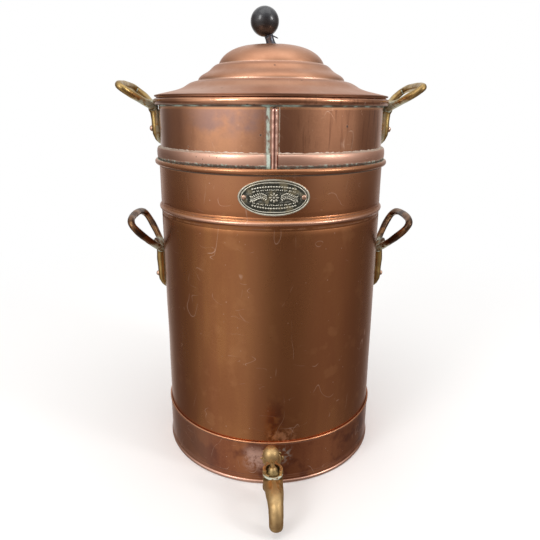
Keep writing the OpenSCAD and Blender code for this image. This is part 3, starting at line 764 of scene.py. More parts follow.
def bead_copper():
    """Pale and worn, pitted, with painted shade at its left end and along its lower edge, grime beside the
    strip, and green along its edges.
    """
    metal = Copper("stop_bead_copper", (0.78, 0.475, 0.36), (0.58, 0.31, 0.21), 0.45, 0.34)
    # Painted shade: the left end of the bead is darkened.
    shaded_left_end = metal.step(metal.x, -96, -140)
    metal.tint(shaded_left_end * 0.55, (0.24, 0.11, 0.065))
    metal.wear(1.2)
    ragged = metal.ragged(2.6, 1.4)
    solder = metal.step(metal.z + ragged * 0.8, bead_high.z - 1.1, bead_high.z - 0.2)
    metal.tint(solder * 0.8, (0.66, 0.60, 0.52), 0.15)
    # Painted shade: a dark band along the bead's lower edge, above the tank's rim.
    metal.crust(metal.step(metal.z + ragged * 1.2, bead_low.z + 4.8, bead_low.z + 3.0) * 0.9, GRIME_AND_PAINTED_SHADE, 0.05)
    green = metal.near(metal.z + ragged * 1.6, bead_low.z + 3.4, 1.7)
    metal.crust(green * metal.patches(0.50, 0.64, 3.5, 4, shift=2.4) * 0.6, VERDIGRIS)
    beside = metal.near(metal.x + ragged * 1.1, strip_low.x - 2.4, 3.0)
    metal.crust(metal.near(metal.x + ragged * 1.4, strip_low.x - 3.0, 5.0) * 0.6, GRIME_AND_PAINTED_SHADE, 0.03)
    metal.crust(beside * metal.patches(0.3, 0.5, 4, 4, shift=9.9) * 0.9, (0.50, 0.60, 0.52), 0.3)
    pits = metal.specks(4, 0.10, 4.8)
    metal.crust(pits * 0.8, (0.12, 0.06, 0.04), 0.03)
    return metal.finished()


def strip_copper():
    """Pale, with painted shade as a dark red line up its middle and a painted highlight along its right edge.
    """
    metal = Copper("seam_strip_copper", (0.82, 0.52, 0.42), (0.50, 0.24, 0.17), 0.6, 0.33)
    # Painted shade: a dark red line up the middle of the round strip.
    middle = metal.near(metal.x, -0.4, 1.5)
    metal.tint(middle * 0.85, (0.20, 0.05, 0.035))
    # Painted highlight: the right edge is lightened.
    metal.tint(metal.step(metal.x, 1.8, 3.0) * 0.6, (0.80, 0.56, 0.46))
    metal.wear(0.8)
    return metal.finished()


PAN_COPPER = pan_copper()
BEAD_COPPER = bead_copper()
STRIP_COPPER = strip_copper()
print("pan:", len(PAN_COPPER.node_tree.nodes), "nodes")

# %% [markdown]
# The lid is satin: it is wiped often and never polished hard, so its colour is light and
# even. Painted highlights run along the crests where each step turns over, with painted shade
# just below each, and painted shade darkens its edge. The base band is the reddest, with a
# pinkish scour around the tap, where the joint was cleaned for soldering. Its left side is
# painted lighter, and painted shade lies under its folded top edge.


# %% Copper of the lid, the band and the rivets
CROWN_FADE = (532, 545)


def lid_copper():
    """Satin and even, with painted highlights on the crests, painted shade below them and at the edge, and
    dark specks.
    """
    metal = Copper("lid_copper", (0.53, 0.275, 0.170), (0.40, 0.185, 0.105), 0.6, 0.38)
    metal.tint(metal.step(metal.z, *CROWN_FADE) * 0.2, (0.50, 0.27, 0.17))
    # Painted highlight along each crest, and painted shade just below it.
    for height in (LID_CREASE_Z - 0.4, LID_STEP_Z + 0.2):
        metal.tint(metal.near(metal.z, height, 1.5) * 0.7, (0.72, 0.50, 0.39))
        metal.tint(metal.near(metal.z, height - 2.6, 1.3) * 0.45, (0.34, 0.16, 0.10))
    # Painted shade: the lid's edge is darkened, where it meets the rim.
    metal.tint(metal.step(metal.radius, 150.5, 152) * 0.65, (0.22, 0.095, 0.06))
    metal.wear(0.7)
    metal.crust(metal.specks(6, 0.035, 2.2) * 0.7, (0.10, 0.05, 0.035), 0.02)
    return metal.finished()


def band_copper():
    """Dark red, with a pink scour and solder beside the tap, a painted lighter left side, and painted shade
    under the folded top edge.
    """
    metal = Copper("band_copper", (0.48, 0.195, 0.09), (0.24, 0.075, 0.045), 0.85, 0.3)
    dark = metal.patches(0.5, 0.64, 30, 3, shift=7.3)
    metal.tint(dark * 0.6, (0.15, 0.045, 0.035))
    # Painted light: the left side of the front is lightened.
    left = metal.step(metal.x, -60, -110) * metal.front
    metal.tint(left * 0.5, (0.60, 0.33, 0.22))
    scour = metal.near(metal.x, -20, 22) * metal.near(metal.z, 38, 24) * metal.front
    scour = scour * metal.patches(0.34, 0.56, 7, 5, shift=3.1, rough=0.75)
    metal.tint(scour * 0.95, (0.86, 0.56, 0.46), 0.22)
    grains = scour * metal.specks(1.6, 0.4, 5.3)
    metal.tint(grains * 0.9, (0.95, 0.80, 0.72), 0.3)
    metal.bump(scour * metal.mottle, 0.2)
    solder_mark = metal.near(metal.x, 17, 12) * metal.near(metal.z, 45, 20) * metal.front
    solder_mark = solder_mark * metal.patches(0.48, 0.6, 5, 3, shift=4.7)
    metal.tint(solder_mark * 0.8, (0.62, 0.56, 0.50), 0.2)
    metal.wear(1.6)
    ragged = metal.ragged(3, 6.2)
    metal.tint(metal.step(metal.z, 5.8, 4.6) * 0.6, (0.80, 0.52, 0.42))
    for height in (9.2, 12.5):
        metal.crust(metal.near(metal.z + ragged * 0.5, height, 0.7) * 0.6, (0.10, 0.045, 0.03), 0.02)
    # Painted shade: a dark line just under the folded top edge.
    metal.crust(metal.near(metal.z, BAND_TOP - 3.2, 0.9) * 0.75, (0.09, 0.04, 0.025), 0.02)
    metal.tint(metal.near(metal.z, BAND_TOP - 0.8, 1.1) * 0.5, FLUX_ORANGE)
    return metal.finished()


lid_low, lid_high = box_mm("lid_shell")
LID_TOP, LID_EDGE_R = lid_high.z, lid_high.x
LID_CREASE_Z, LID_STEP_Z = LID_TOP - 23.6, LID_TOP - 44.2
LID_COPPER = lid_copper()
BAND_COPPER = band_copper()


def rivet_copper():
    """Scratched, with green in places."""
    metal = Copper("rivet_copper", (0.72, 0.47, 0.35), (0.36, 0.19, 0.12), 0.6, 0.3)
    metal.wear(1.5)
    metal.crust(metal.patches(0.6, 0.7, 3, 3, shift=6.6) * 0.6, VERDIGRIS, 0.05)
    return metal.finished()


RIVET_COPPER = rivet_copper()
print("lid, band and rivets made")

# %% [markdown]
# ## Other metals
# Cast brass is golden where hands rub it and olive brown elsewhere. Its hollows hold
# verdigris, which the material finds with the hollow value of each casting. The plate is a
# tin alloy, pale on the raised parts and nearly black in its ground.


# %% Brass, white metal, iron, black and leather
TANK_LOOPS_START, TANK_LOOPS_END = (284, 300), (360, 345)
CROTCHES = (291, 482)


def brass(name, brown_share, green, rough):
    """Cast brass: golden ridges, brown strands, green crotches."""
    metal = Finish(name)
    patches = metal.patches(0.38, 0.62, 16, 3, shift=2.4)
    grain = metal.noise(1.7, 3, shift=5.9)
    hollow = metal.hollow()
    ridge = metal.step(hollow, 0.40, 0.20)
    colour = metal.mix(patches * brown_share, (0.44, 0.295, 0.105), (0.20, 0.115, 0.045))
    colour = metal.mix(ridge * 0.35, colour, (0.56, 0.40, 0.17))
    strands = metal.step(metal.z, *TANK_LOOPS_END) * metal.step(metal.z, *TANK_LOOPS_START)
    colour = metal.mix(strands * 0.85, colour, (0.20, 0.095, 0.05))
    black = strands * metal.patches(0.44, 0.6, 16, 2, shift=8.3)
    colour = metal.mix(black * 0.75, colour, (0.045, 0.03, 0.025))
    dirt = metal.step(hollow + grain * 0.06, 0.54, 0.62)
    crotch = metal.near(metal.z, CROTCHES[0], 9) + metal.near(metal.z, CROTCHES[1], 9)
    by_wall = metal.step(metal.radius, TANK_R + 4.5, TANK_R + 1.5)
    crust = (dirt + crotch * 0.95 + by_wall * 0.9) * metal.patches(0.34, 0.52, 6, 4, shift=7.1)
    crust = crust.math("MINIMUM", 1.0)
    colour = metal.mix(dirt * 0.75, colour, (0.12, 0.09, 0.045))
    colour = metal.mix(crust * green, colour, (0.46, 0.52, 0.42))
    pits = metal.specks(2.4, 0.16, 1.7)
    colour = metal.mix(pits * 0.5, colour, (0.14, 0.09, 0.04))
    metal.bump(metal.noise(9, 2, shift=3.3), 0.2)
    metal.bump(grain * 0.4 + pits * -0.5, 0.025)
    metal.bump(crust, 0.1)
    dullness = rough + 0.12 * patches + 0.1 * grain + dirt * 0.25
    shine = 1 - crust * green
    return metal.done(Base_Color=colour, Roughness=dullness, Metallic=shine)


screw_low, screw_high = box_mm("tap_plug_screw")
TAP_Y, NOTCH_Z = (screw_low.y + screw_high.y) / 2, 48.4


def tap_brass():
    """Brass of the tap, with pale crust around the plug and painted shade in the plug's bore."""
    metal = Finish("tap_brass")
    patches = metal.patches(0.36, 0.64, 9, 3, shift=4.4)
    grain = metal.noise(1.3, 3, shift=8.9)
    hollow = metal.hollow()
    colour = metal.mix(patches * 0.7, (0.46, 0.275, 0.10), (0.27, 0.15, 0.055))
    colour = metal.mix(metal.step(hollow, 0.46, 0.38) * 0.5, colour, (0.68, 0.50, 0.26))
    dirt = metal.step(hollow + grain * 0.05, 0.53, 0.62)
    colour = metal.mix(dirt * 0.8, colour, (0.10, 0.075, 0.035))
    from_plug = (metal.x * metal.x + (metal.y - TAP_Y) ** 2) ** 0.5
    seat = metal.near(metal.z, NOTCH_Z - 0.2, 1.5) * metal.near(from_plug, 12.0, 2.6)
    crust = seat * metal.patches(0.32, 0.5, 3, 3, shift=1.1) * metal.step(metal.y, -192, -195)
    # Painted shade: the bore, and the plug inside it, are darkened below the barrel's top.
    inside = metal.step(from_plug, 9.6, 8.8) * metal.step(metal.z, 56, 53) * 0.7
    colour = metal.mix(inside, colour, (0.13, 0.10, 0.04))
    colour = metal.mix(crust * 0.85, colour, PALE_CRUST)
    metal.bump(metal.noise(5, 2, shift=6.3), 0.16)
    metal.bump(grain, 0.03)
    dullness = 0.42 + 0.12 * patches + 0.1 * grain + dirt * 0.2 + crust * 0.3
    return metal.done(Base_Color=colour, Roughness=dullness, Metallic=1 - crust * 0.8)


def white_metal():
    """Pale where it is raised and nearly black in its hollows."""
    metal = Finish("white_metal")
    hollow = metal.hollow()
    grain = metal.noise(1.1, 3, shift=3.8)
    raised = metal.step(hollow + grain * 0.08, 0.55, 0.47)
    colour = metal.mix(raised, (0.022, 0.022, 0.014), (0.66, 0.64, 0.54))
    stain = metal.patches(0.5, 0.66, 9, 3, shift=1.9)
    colour = metal.mix(stain * 0.35, colour, (0.34, 0.28, 0.16))
    metal.bump(grain, 0.04)
    dullness = 0.66 - raised * 0.3 + grain * 0.1
    return metal.done(Base_Color=colour, Roughness=dullness, Metallic=raised * 0.6 + 0.3)


def dark_iron():
    """Grey iron with rust in patches."""
    metal = Finish("dark_iron")
    rust = metal.patches(0.46, 0.64, 5, 4, shift=2.1)
    grain = metal.noise(0.8, 3, shift=9.1)
    worn = metal.patches(0.55, 0.7, 3, 3, shift=7.7)
    colour = metal.mix(rust * 0.6, (0.085, 0.09, 0.105), (0.12, 0.055, 0.03))
    colour = metal.mix(worn * 0.5, colour, (0.42, 0.43, 0.46))
    metal.bump(grain * 0.6 + rust * 0.4, 0.06)
    return metal.done(Base_Color=colour, Roughness=0.34 + rust * 0.3, Metallic=1 - rust * 0.7)


def black_knob():
    """A hard black finish with dust, specks and fine scratches."""
    metal = Finish("black_knob", Coat_Roughness=0.14)
    broad = metal.noise(14, 3, shift=6.4)
    dust = metal.patches(0.55, 0.75, 3, 4, shift=2.6)
    brown = metal.step(metal.z, 592, 572)
    colour = metal.mix(brown * 0.7, (0.012, 0.013, 0.018), (0.022, 0.014, 0.010))
    colour = metal.mix(dust * 0.2, colour, (0.04, 0.037, 0.036))
    marks = metal.specks(3.1, 0.10, 5.2) + metal.scratches(16, 0.004, (1, 1, 1), 1.3)
    colour = metal.mix(marks * 0.3, colour, (0.12, 0.11, 0.10))
    metal.bump(broad, 0.25)
    metal.bump(marks, -0.03)
    dullness = 0.24 + dust * 0.14 + marks * 0.2
    return metal.done(Base_Color=colour, Roughness=dullness, Coat_Weight=0.45 - dust * 0.3)


def leather():
    """Oiled leather."""
    metal = Finish("gasket_leather", Roughness=0.85)
    fibres = metal.noise(2, 5, shift=4.3)
    oil = metal.patches(0.4, 0.65, 8, 3, shift=2.2)
    colour = metal.mix(fibres, (0.14, 0.075, 0.035), (0.30, 0.18, 0.09))
    colour = metal.mix(oil * 0.6, colour, (0.07, 0.045, 0.025))
    metal.bump(fibres, 0.15)
    return metal.done(Base_Color=colour, Roughness=0.9 - oil * 0.3)


HANDLE_BRASS = brass("handle_brass", 0.8, 0.8, 0.27)
TAP_BRASS = tap_brass()
WHITE_METAL = white_metal()
DARK_IRON = dark_iron()
BLACK_KNOB = black_knob()
LEATHER = leather()
print("materials:", len(bpy.data.materials))

# %% [markdown]
# ## Tank
# The wall is one sheet, rolled outwards over a wire at the top. The roll ends in a thin slit
# against the wall, below which the tank's copper carries a painted shadow. Lower down runs a
# swaged bead, pressed from inside, with a fine crease on each side. At the back the sheet
# overlaps itself in a soldered seam.


# %% Tank wall
def rolled_wall(inner, outer, bottom, centre_r, centre_z, wire, marks=()):
    """Outline of a wall whose top is rolled outwards over a wire. Marks go up its outside."""
    roll = wire + SOLDER_GAP + ROLL_SHEET
    start = 180 + math.degrees(math.acos(min(1, (centre_r - inner) / roll)))
    stop = math.degrees(math.acos((centre_r - outer) / roll)) - 170
    inside = wire + 0.12
    (slit,) = arc(centre_r, centre_z, inside, stop, stop, 1)[:1]
    corner = (outer, centre_z - math.sqrt(max(inside ** 2 - (centre_r - outer) ** 2, 0.01)) - 0.1)
    around = arc(centre_r, centre_z, roll, start, stop, 34)
    return [(outer, bottom), (inner, bottom), *around, slit, corner, *reversed(marks)]


SEAM_LAP = 13
SEAM_ANGLES = [math.pi + shift / TANK_R for shift in (-0.1, 0.5, 0.9, SEAM_LAP, SEAM_LAP + 1.2)]


def sheet_push(seed, depth, calm_above, seam=True):
    """Moves sheet points by its unevenness, less in the roll, and raises the lapped seam."""

    def push(angle, radius, height):
        calm = max(0.0, min(1.0, (calm_above - height) / 12)) * 0.85 + 0.15
        radius += calm * uneven(angle, height, 55, depth, seed)
        along = (angle - math.pi) * TANK_R
        if seam and radius > TANK_R - 1 and height < calm_above and -0.05 < along < SEAM_LAP + 1:
            radius += 0.75 * min(1.0, (along + 0.1) / 0.9)
        return radius, height

    return push


swage = [(TANK_R + rise, SWAGE_Z + place) for rise, place in (
    (0.0, -4.4), (0.2, -3.4), (0.9, -2.7), (1.8, -1.8), (2.35, -0.9), (2.5, 0.0),
    (2.35, 0.9), (1.8, 1.8), (0.9, 2.7), (0.2, 3.4), (0.0, 4.4),
)]
marks = crease(TANK_R, SWAGE_Z - 8.5, 0.22, 0.8) + swage + crease(TANK_R, SWAGE_Z + 7.2, 0.3, 0.8)
wall = rolled_wall(
    TANK_R - SHEET, TANK_R, box_mm("tank_shell")[0].z, RIM_R, RIM_Z, RIM_WIRE, marks
)
turns_used = sorted(even(288) + SEAM_ANGLES)
tank_mesh = new_mesh("tank_wall", lathe(with_rows(wall, 6), turns_used, sheet_push(1, 0.34, 398)))
add_piece("tank_wall", tank_mesh, "tank", TANK_COPPER, ["tank_shell"])

# %% [markdown]
# The base band is a second, thicker-looking sheet around the foot. Its upper edge is folded
# over and its lower edge rolled over a wire, so that the tank stands on a soft round rim.

# %% Base band
FOOT_R, FOOT_Z, FOOT_WIRE = ring_mm("base_rim_wire")
band_in = TANK_R + SOLDER_GAP
band_out = band_in + SHEET
EDGE_ROLL = 1.3
EDGE_Z = BAND_TOP - EDGE_ROLL
foot_roll = FOOT_WIRE + SOLDER_GAP + ROLL_SHEET
foot_start = math.degrees(math.acos((band_out - FOOT_R) / foot_roll))
foot_arc = [(r, max(z, 0.0)) for r, z in arc(FOOT_R, FOOT_Z, foot_roll, foot_start, -262, 40)]
band_outline = [
    *arc(band_in + EDGE_ROLL, EDGE_Z, EDGE_ROLL, 180, -80, 18),
    (band_out, EDGE_Z - 1.5),
    *reversed(crease(band_out, 10.8, 0.12, 0.8)),
    *foot_arc,
    (FOOT_R - 0.25, FOOT_Z + FOOT_WIRE + 0.15),
    (band_in, FOOT_Z + FOOT_WIRE + 0.2),
]
band_shape = lathe(with_rows(band_outline, 5), even(288), sheet_push(5, 0.25, 58, seam=False))
band_mesh = new_mesh("band", band_shape)
add_piece("foot_band", band_mesh, "tank", BAND_COPPER, ["base_band"])

# %% [markdown]
# ## Plate and rivets
# The plate is stamped: a double rim, and a low relief on a dark ground. Its relief is made
# here of many small domes, each an ellipse: a rosette in the middle, leaves along two sprigs
# and a row of lozenges above and below. Stamping could be painted as a bump, but real
# relief also catches light at its edges and stands up to a close look.

# %% Relief of the plate
PLATE_HALF = ((plate_high.x - plate_low.x) / 2, (plate_high.z - plate_low.z) / 2)
PLATE_BACK = TANK_R + SOLDER_GAP


def plate_marks():
    """Ellipses as (x, z, half length, half width, turn in radians)."""
    found = [(0, 0, 1.7, 1.7, 0)]
    for k in range(8):
        a = math.tau * k / 8
        found.append((3.9 * math.cos(a), 3.9 * math.sin(a), 1.9, 0.95, a))
    for side in (-1, 1):
        for k in range(9):
            x = 8.5 + 2.1 * k
            z = 1.9 * math.sin(k * 0.62)
            found.append((side * x, z, 1.5, 0.45, side * 0.45 * math.cos(k * 0.62)))
            for turn in (0.85, -0.85):
                out = 2.3 if turn > 0 else -2.3
                found.append((side * (x + 0.5), z + out, 1.75, 0.75, side * turn))
    for row in (-1, 1):
        for k in range(-8, 9):
            x = 3.0 * k
            z = row * math.sqrt(max(0.0, 1 - (x / 36.5) ** 2)) * 12.2
            slope = -row * x / 36.5 * 0.42
            found.append((x, z, 1.25, 0.9, slope))
        for k in range(-10, 11):
            x = 2.4 * k + 0.4 * math.sin(3 * k)
            z = row * math.sqrt(max(0.0, 1 - (x / 33) ** 2)) * 8.6
            found.append((x, z, 0.95, 0.42, row * 0.5 + k))
    return found


def plate_height(x, z, marks_near):
    """Height of the stamped face above the plate's back, in mm."""
    half_x, half_z = PLATE_HALF
    share = math.hypot(x / half_x, z / half_z)
    away = math.hypot(x, z)
    from_edge = away / share - away if share > 0.01 else half_z
    height = 0.75
    for centre, half, rise in ((1.3, 1.3, 1.1), (4.3, 0.75, 0.62)):
        height += rise * max(0.0, 1 - ((from_edge - centre) / half) ** 2) ** 0.5
    for mark_x, mark_z, long, short, turn in marks_near:
        c, s = math.cos(turn), math.sin(turn)
        dx, dz = x - mark_x, z - mark_z
        spot = ((dx * c + dz * s) / long) ** 2 + ((dz * c - dx * s) / short) ** 2
        if spot < 1:
            height = max(height, 0.75 + 0.62 * (1 - spot) ** 0.5)
    return height


def plate_shape():
    """The plate as a grid from its middle to its edge, with a flat back on the wall."""
    marks_all = plate_marks()
    rings, spokes = 64, 300
    points = []
    for i in range(rings + 2):
        share = min(i, rings) / rings
        for k in range(spokes):
            a = math.tau * k / spokes
            x, z = PLATE_HALF[0] * share * math.cos(a), PLATE_HALF[1] * share * math.sin(a)
            close = [m for m in marks_all if abs(m[0] - x) < 2 and abs(m[1] - z) < 2]
            out = 0 if i > rings else plate_height(x, z, close)
            radius = PLATE_BACK + out + 0.02 * (i <= rings)
            points.append((x, -math.sqrt(radius ** 2 - x * x), PLATE_Z + z))
    return points, quads(rings + 2, spokes)


plate_mesh = new_mesh("stamped_plate", plate_shape())
mark_hollows(plate_mesh, 14, 0.5)
add_piece("stamped_plate", plate_mesh, "tank", WHITE_METAL, ["name_plate"], corner=60)

# %% [markdown]
# Rivets are closed by hammer, so their heads are not perfect domes. One function makes a
# head with its shank, standing on its own axis, and each copy is then turned into place.


# %% Rivets
def dome(radius, height, shank_r, shank, seed):
    """A hammered head with its base at 0, and a shank below it."""
    outline = [(0, -shank), (shank_r, -shank), (shank_r, 0)]
    outline += [(radius * math.cos(a), height * math.sin(a)) for a in np.linspace(0, math.pi / 2, 12)]

    def hammered(angle, r, z):
        knock = noise.noise(Vector((r * math.sin(angle) / 2, r * math.cos(angle) / 2, seed)))
        return r * (1 + 0.05 * knock), z * (1 + 0.1 * knock) if z > 0 else z

    return lathe(outline, even(36), hammered)


def outward(turn, radius, height):
    """Places a thing that stands on its axis so that it points out from the tank's wall.
    The turn is in radians from the front, positive to the right."""
    return (
        Matrix.Rotation(turn, 4, "Z")
        @ Matrix.Translation((0, -radius, height))
        @ Matrix.Rotation(math.pi / 2, 4, "X")
    )


plate_turn = math.asin(34 / (TANK_R + 1.25))
plate_rivet = [
    placed(dome(2.8, 1.5, 1.55, 3.0, side), outward(side * plate_turn, PLATE_BACK + 1.25, PLATE_Z))
    for side in (-1, 1)
]
add_piece(
    "plate_rivet_pair", new_mesh("plate_rivet_pair", joined(*plate_rivet)), "tank",
    RIVET_COPPER, ["plate_rivets"],
)

# %% [markdown]
# ## Handles
# All four handles come from two patterns of one shape: a loop of round bar that leaves a
# shield-shaped foot, riveted through its middle. The loop follows two curves, the foot is a
# row of ellipses, and melting them together gives the webbed neck that a casting has. The
# wall and the rivet's seat are then cut out.

# %% Shape of a handle
LOOP_D, LOOP_W, BAR_R = 54, 44, 4.8
FOOT_ROWS = (  # height from the rivet, distance from the wall, half thickness, half width
    (-20.4, 1.2, 0.3, 0.6), (-19.4, 1.5, 1.8, 2.9), (-17, 2.8, 2.9, 4.8), (-13.5, 4.4, 4.4, 6.9),
    (-6.5, 6.2, 5.9, 9.4), (2, 6.7, 6.2, 9.8), (11, 7.0, 5.9, 8.8), (21, 7.6, 6.3, 7.8),
)
NECK_ROWS = ((-5, 2.0, 6.3, 7.8), (2, 0.6, 5.0, 6.6), (6, 0, 3.2, 3.5))  # from the neck
WEB_ROWS = ((-2, 4.3, 8), (2, 4.2, 10), (6, 3.6, 9), (9, 2.6, 6), (11, 1.0, 2))  # along the loop
TANK_HANDLE = dict(wall=TANK_R, height=247, neck=(8.8, 43.5), tilt=54, shorter=1.0)
PAN_HANDLE = dict(wall=PAN_R, height=451, neck=(12.0, 30.4), tilt=36, shorter=0.78)
RIVET_SEAT, SEAT_R, RIVET_HOLE_R = 12.2, 4.6, 2.25


def half_loop(depth):
    """Half of a loop as (distance along, distance to the side)."""
    widest = (0.76 * depth, LOOP_W)
    first = bezier((-0.12 * depth, 4), (0.02 * depth, 17), (0.48 * depth, 42), widest, 16)
    last = bezier(widest, (0.96 * depth, LOOP_W), (depth, 0.6 * LOOP_W), (depth, 0), 14)
    return first + last[1:]


def handle_shape(wall, height, neck, tilt, shorter):
    """A handle that reaches out to the right of the tank, uncut."""
    tilt = math.radians(tilt)

    def up_the_tilt(line):
        start_r, start_z = wall + neck[0], height + neck[1]
        return [(start_r + a * math.cos(tilt), w, start_z + a * math.sin(tilt)) for a, w in line]

    half = half_loop(LOOP_D * shorter)
    line = up_the_tilt([(a, -w) for a, w in half] + [(a, w) for a, w in reversed(half[:-1])])
    thick = [BAR_R * (1 + 0.03 * math.sin(i * 0.7)) for i in range(len(line))]
    square_to_tilt = Vector((-math.sin(tilt), 0, math.cos(tilt)))
    ring = bar(line, [(t, t) for t in thick], up=square_to_tilt)
    rows = [row for row in FOOT_ROWS if row[0] < neck[1] - 7]
    rows += [(neck[1] + up, neck[0] - back, *half) for up, back, *half in NECK_ROWS]
    spine = [(wall + row[1], 0, height + row[0]) for row in rows]
    foot = bar(spine, [(row[2], row[3]) for row in rows])
    web = bar(up_the_tilt([(a, 0) for a, *_ in WEB_ROWS]), [row[1:] for row in WEB_ROWS])
    return joined(ring, foot, web)


def cylinder(radius, low, high, around=64):
    """A cylinder about the axis."""
    return lathe([(0, low), (radius, low), (radius, high), (0, high)], even(around))


def make_handle(name, kind, side, body, stands_for, seed, extra_cuts=()):
    """One handle. Side is 1 for the right and -1 for the left."""
    shape = handle_shape(**kind)
    half_turn = Matrix.Rotation(0 if side > 0 else math.pi, 4, "Z")
    to_right = outward(math.pi / 2, kind["wall"] + RIVET_SEAT, kind["height"])
    cuts = [
        cylinder(kind["wall"] + SOLDER_GAP, kind["height"] - 60, kind["height"] + 110, 360),
        placed(cylinder(SEAT_R, 0, 20), to_right),
        placed(cylinder(RIVET_HOLE_R, -14, 1), to_right),
        *extra_cuts,
    ]
    mesh = cast_mesh(name, placed(shape, half_turn), 0.55, 16, [placed(cut, half_turn) for cut in cuts])
    add_casting(name, mesh, body, HANDLE_BRASS, stands_for, (11, 0.3, seed), (40, 0.55))


def make_rivets(name, kind, body, stands_for):
    """The two rivets of a pair of handles, with the heads inside the wall."""
    found = []
    for seed, turn in ((1, math.pi / 2), (2, -math.pi / 2)):
        head = dome(4.0, 3.6, 2.2, RIVET_SEAT + SHEET + 1.2, seed)
        tail = placed(dome(3.6, 1.6, 2.0, 0.4, seed + 5), Matrix.Rotation(math.pi, 4, "X"))
        found.append(placed(head, outward(turn, kind["wall"] + RIVET_SEAT + SOLDER_GAP, kind["height"])))
        found.append(placed(tail, outward(turn, kind["wall"] - SHEET - 1.2, kind["height"])))
    add_piece(name, new_mesh(name, joined(*found)), body, RIVET_COPPER, [stands_for])


pan_roll = PAN_WIRE + SOLDER_GAP + ROLL_SHEET
rim_cut = lathe(arc(PAN_RIM_R, PAN_RIM_Z, pan_roll + 0.08, 0, 350, 35), even(360))
for body, kind, seeds, more_cuts in (
    ("tank", TANK_HANDLE, (3, 8), ()),
    ("pan", PAN_HANDLE, (12, 17), (rim_cut,)),
):
    for side, where, seed in zip((-1, 1), ("left", "right"), seeds):
        make_handle(f"{body}_loop_{where}", kind, side, body, f"{body}_handle_{where}", seed, more_cuts)
    make_rivets(f"{body}_loop_rivets", kind, body, f"{body}_handle_rivets")

# %% [markdown]
# ## Tap
# The tap is a plug tap: a barrel with a spout on one side and a shank on the other, and in
# it a plug with a hole right through, turned by the ball on top. A notch in the barrel's
# upper edge stops a lug on the plug at shut and at open. The solder round its flange is
# lumpy, as hand soldering is.

# %% Flange and barrel of the tap
TAP_Z, SHANK_R, PASSAGE_R, PLUG_HOLE_R = 40, 8.0, 5.0, 8.56
BARREL_LOW, BARREL_HIGH, BARREL_R = 25.0, 54.1, 12.7
NOTCH_HALF = 62
SPOUT_YAW = math.radians(3)
FLANGE_R = 12.6
to_shank = outward(0, 0, TAP_Z)
at_barrel = Matrix.Translation((0, TAP_Y, 0))


def half_round(radius, height, count, start=-math.pi / 2):
    """Outline of a ball, from the angle start to its top."""
    turns = np.linspace(start, math.pi / 2, count)
    return [(radius * math.cos(a), height + radius * math.sin(a)) for a in turns]


def blob(place, radius, squash, seed):
    """A small uneven lump."""
    outline = half_round(radius, 0, 9)

    def lumpy(angle, r, z):
        wave = 1 + 0.25 * noise.noise(Vector((math.sin(angle), z / radius, seed)))
        return r * wave, z * wave

    flatten = Matrix.Diagonal((1, 1, squash, 1))
    return placed(lathe(outline, even(14), lumpy), Matrix.Translation(place) @ flatten)


flange_face = band_out + 4.05
lumps = []
for k in range(13):
    a = 0.48 * k + 0.2 * math.sin(7 * k)
    out = FLANGE_R + 0.9 * math.sin(3 * k)
    size = 2.6 + 0.9 * math.sin(5 * k + 1)
    lumps.append(blob((out * math.cos(a), out * math.sin(a), band_out - 0.3), size, 0.42, k))
flange_disc = lathe(
    [
        (0, band_out - 3), (FLANGE_R, band_out - 3),
        *bezier(
            (FLANGE_R, flange_face - 1.8), (FLANGE_R, flange_face),
            (FLANGE_R - 1.5, flange_face), (FLANGE_R - 3, flange_face), 6,
        ),
        (0, flange_face),
    ],
    even(72),
)
flange_mesh = cast_mesh(
    "soldered_flange", placed(joined(flange_disc, *lumps), to_shank), 0.4, 5,
    [cylinder(band_out + SOLDER_GAP, 0, 90, 360), placed(cylinder(SHANK_R + 0.08, 100, 200), to_shank)],
)
add_casting(
    "soldered_flange", flange_mesh, "tank", TAP_BRASS, "tap_flange", (3, 0.12, 4), (20, 0.4)
)


def along_spout(radii):
    """Places and sizes down the spout. Radii are the sizes at five places on the way."""
    straight, bend, drop = 31, 20, 8
    turns = np.linspace(0.06, math.pi / 2, 22)
    way = [(straight * i / 10, 0) for i in range(11)]
    way += [(straight + bend * math.sin(a), bend * (math.cos(a) - 1)) for a in turns]
    way += [(straight + bend, -bend - drop * i / 5) for i in range(1, 6)]
    line = [(f * math.sin(SPOUT_YAW), TAP_Y - f * math.cos(SPOUT_YAW), TAP_Z + h) for f, h in way]
    sizes = np.interp(np.linspace(0, 4, len(line)), range(5), radii)
    return line, [(size, size) for size in sizes]


def slab(flat, low, high):
    """A flat outline, raised from low to high."""
    count = len(flat)
    points = [(x, y, z) for z in (low, high) for x, y in flat]
    return points, [tuple(range(count)), tuple(range(count, 2 * count)), *quads(2, count)]


def wedge(start, stop, radius, low, high):
    """A slice of pie about the barrel's axis. Angles are in degrees from the front."""
    rim = [math.radians(start + (stop - start) * i / 12) for i in range(13)]
    flat = [(0, 0)] + [(radius * math.sin(a), -radius * math.cos(a)) for a in rim]
    return slab(flat, low, high)


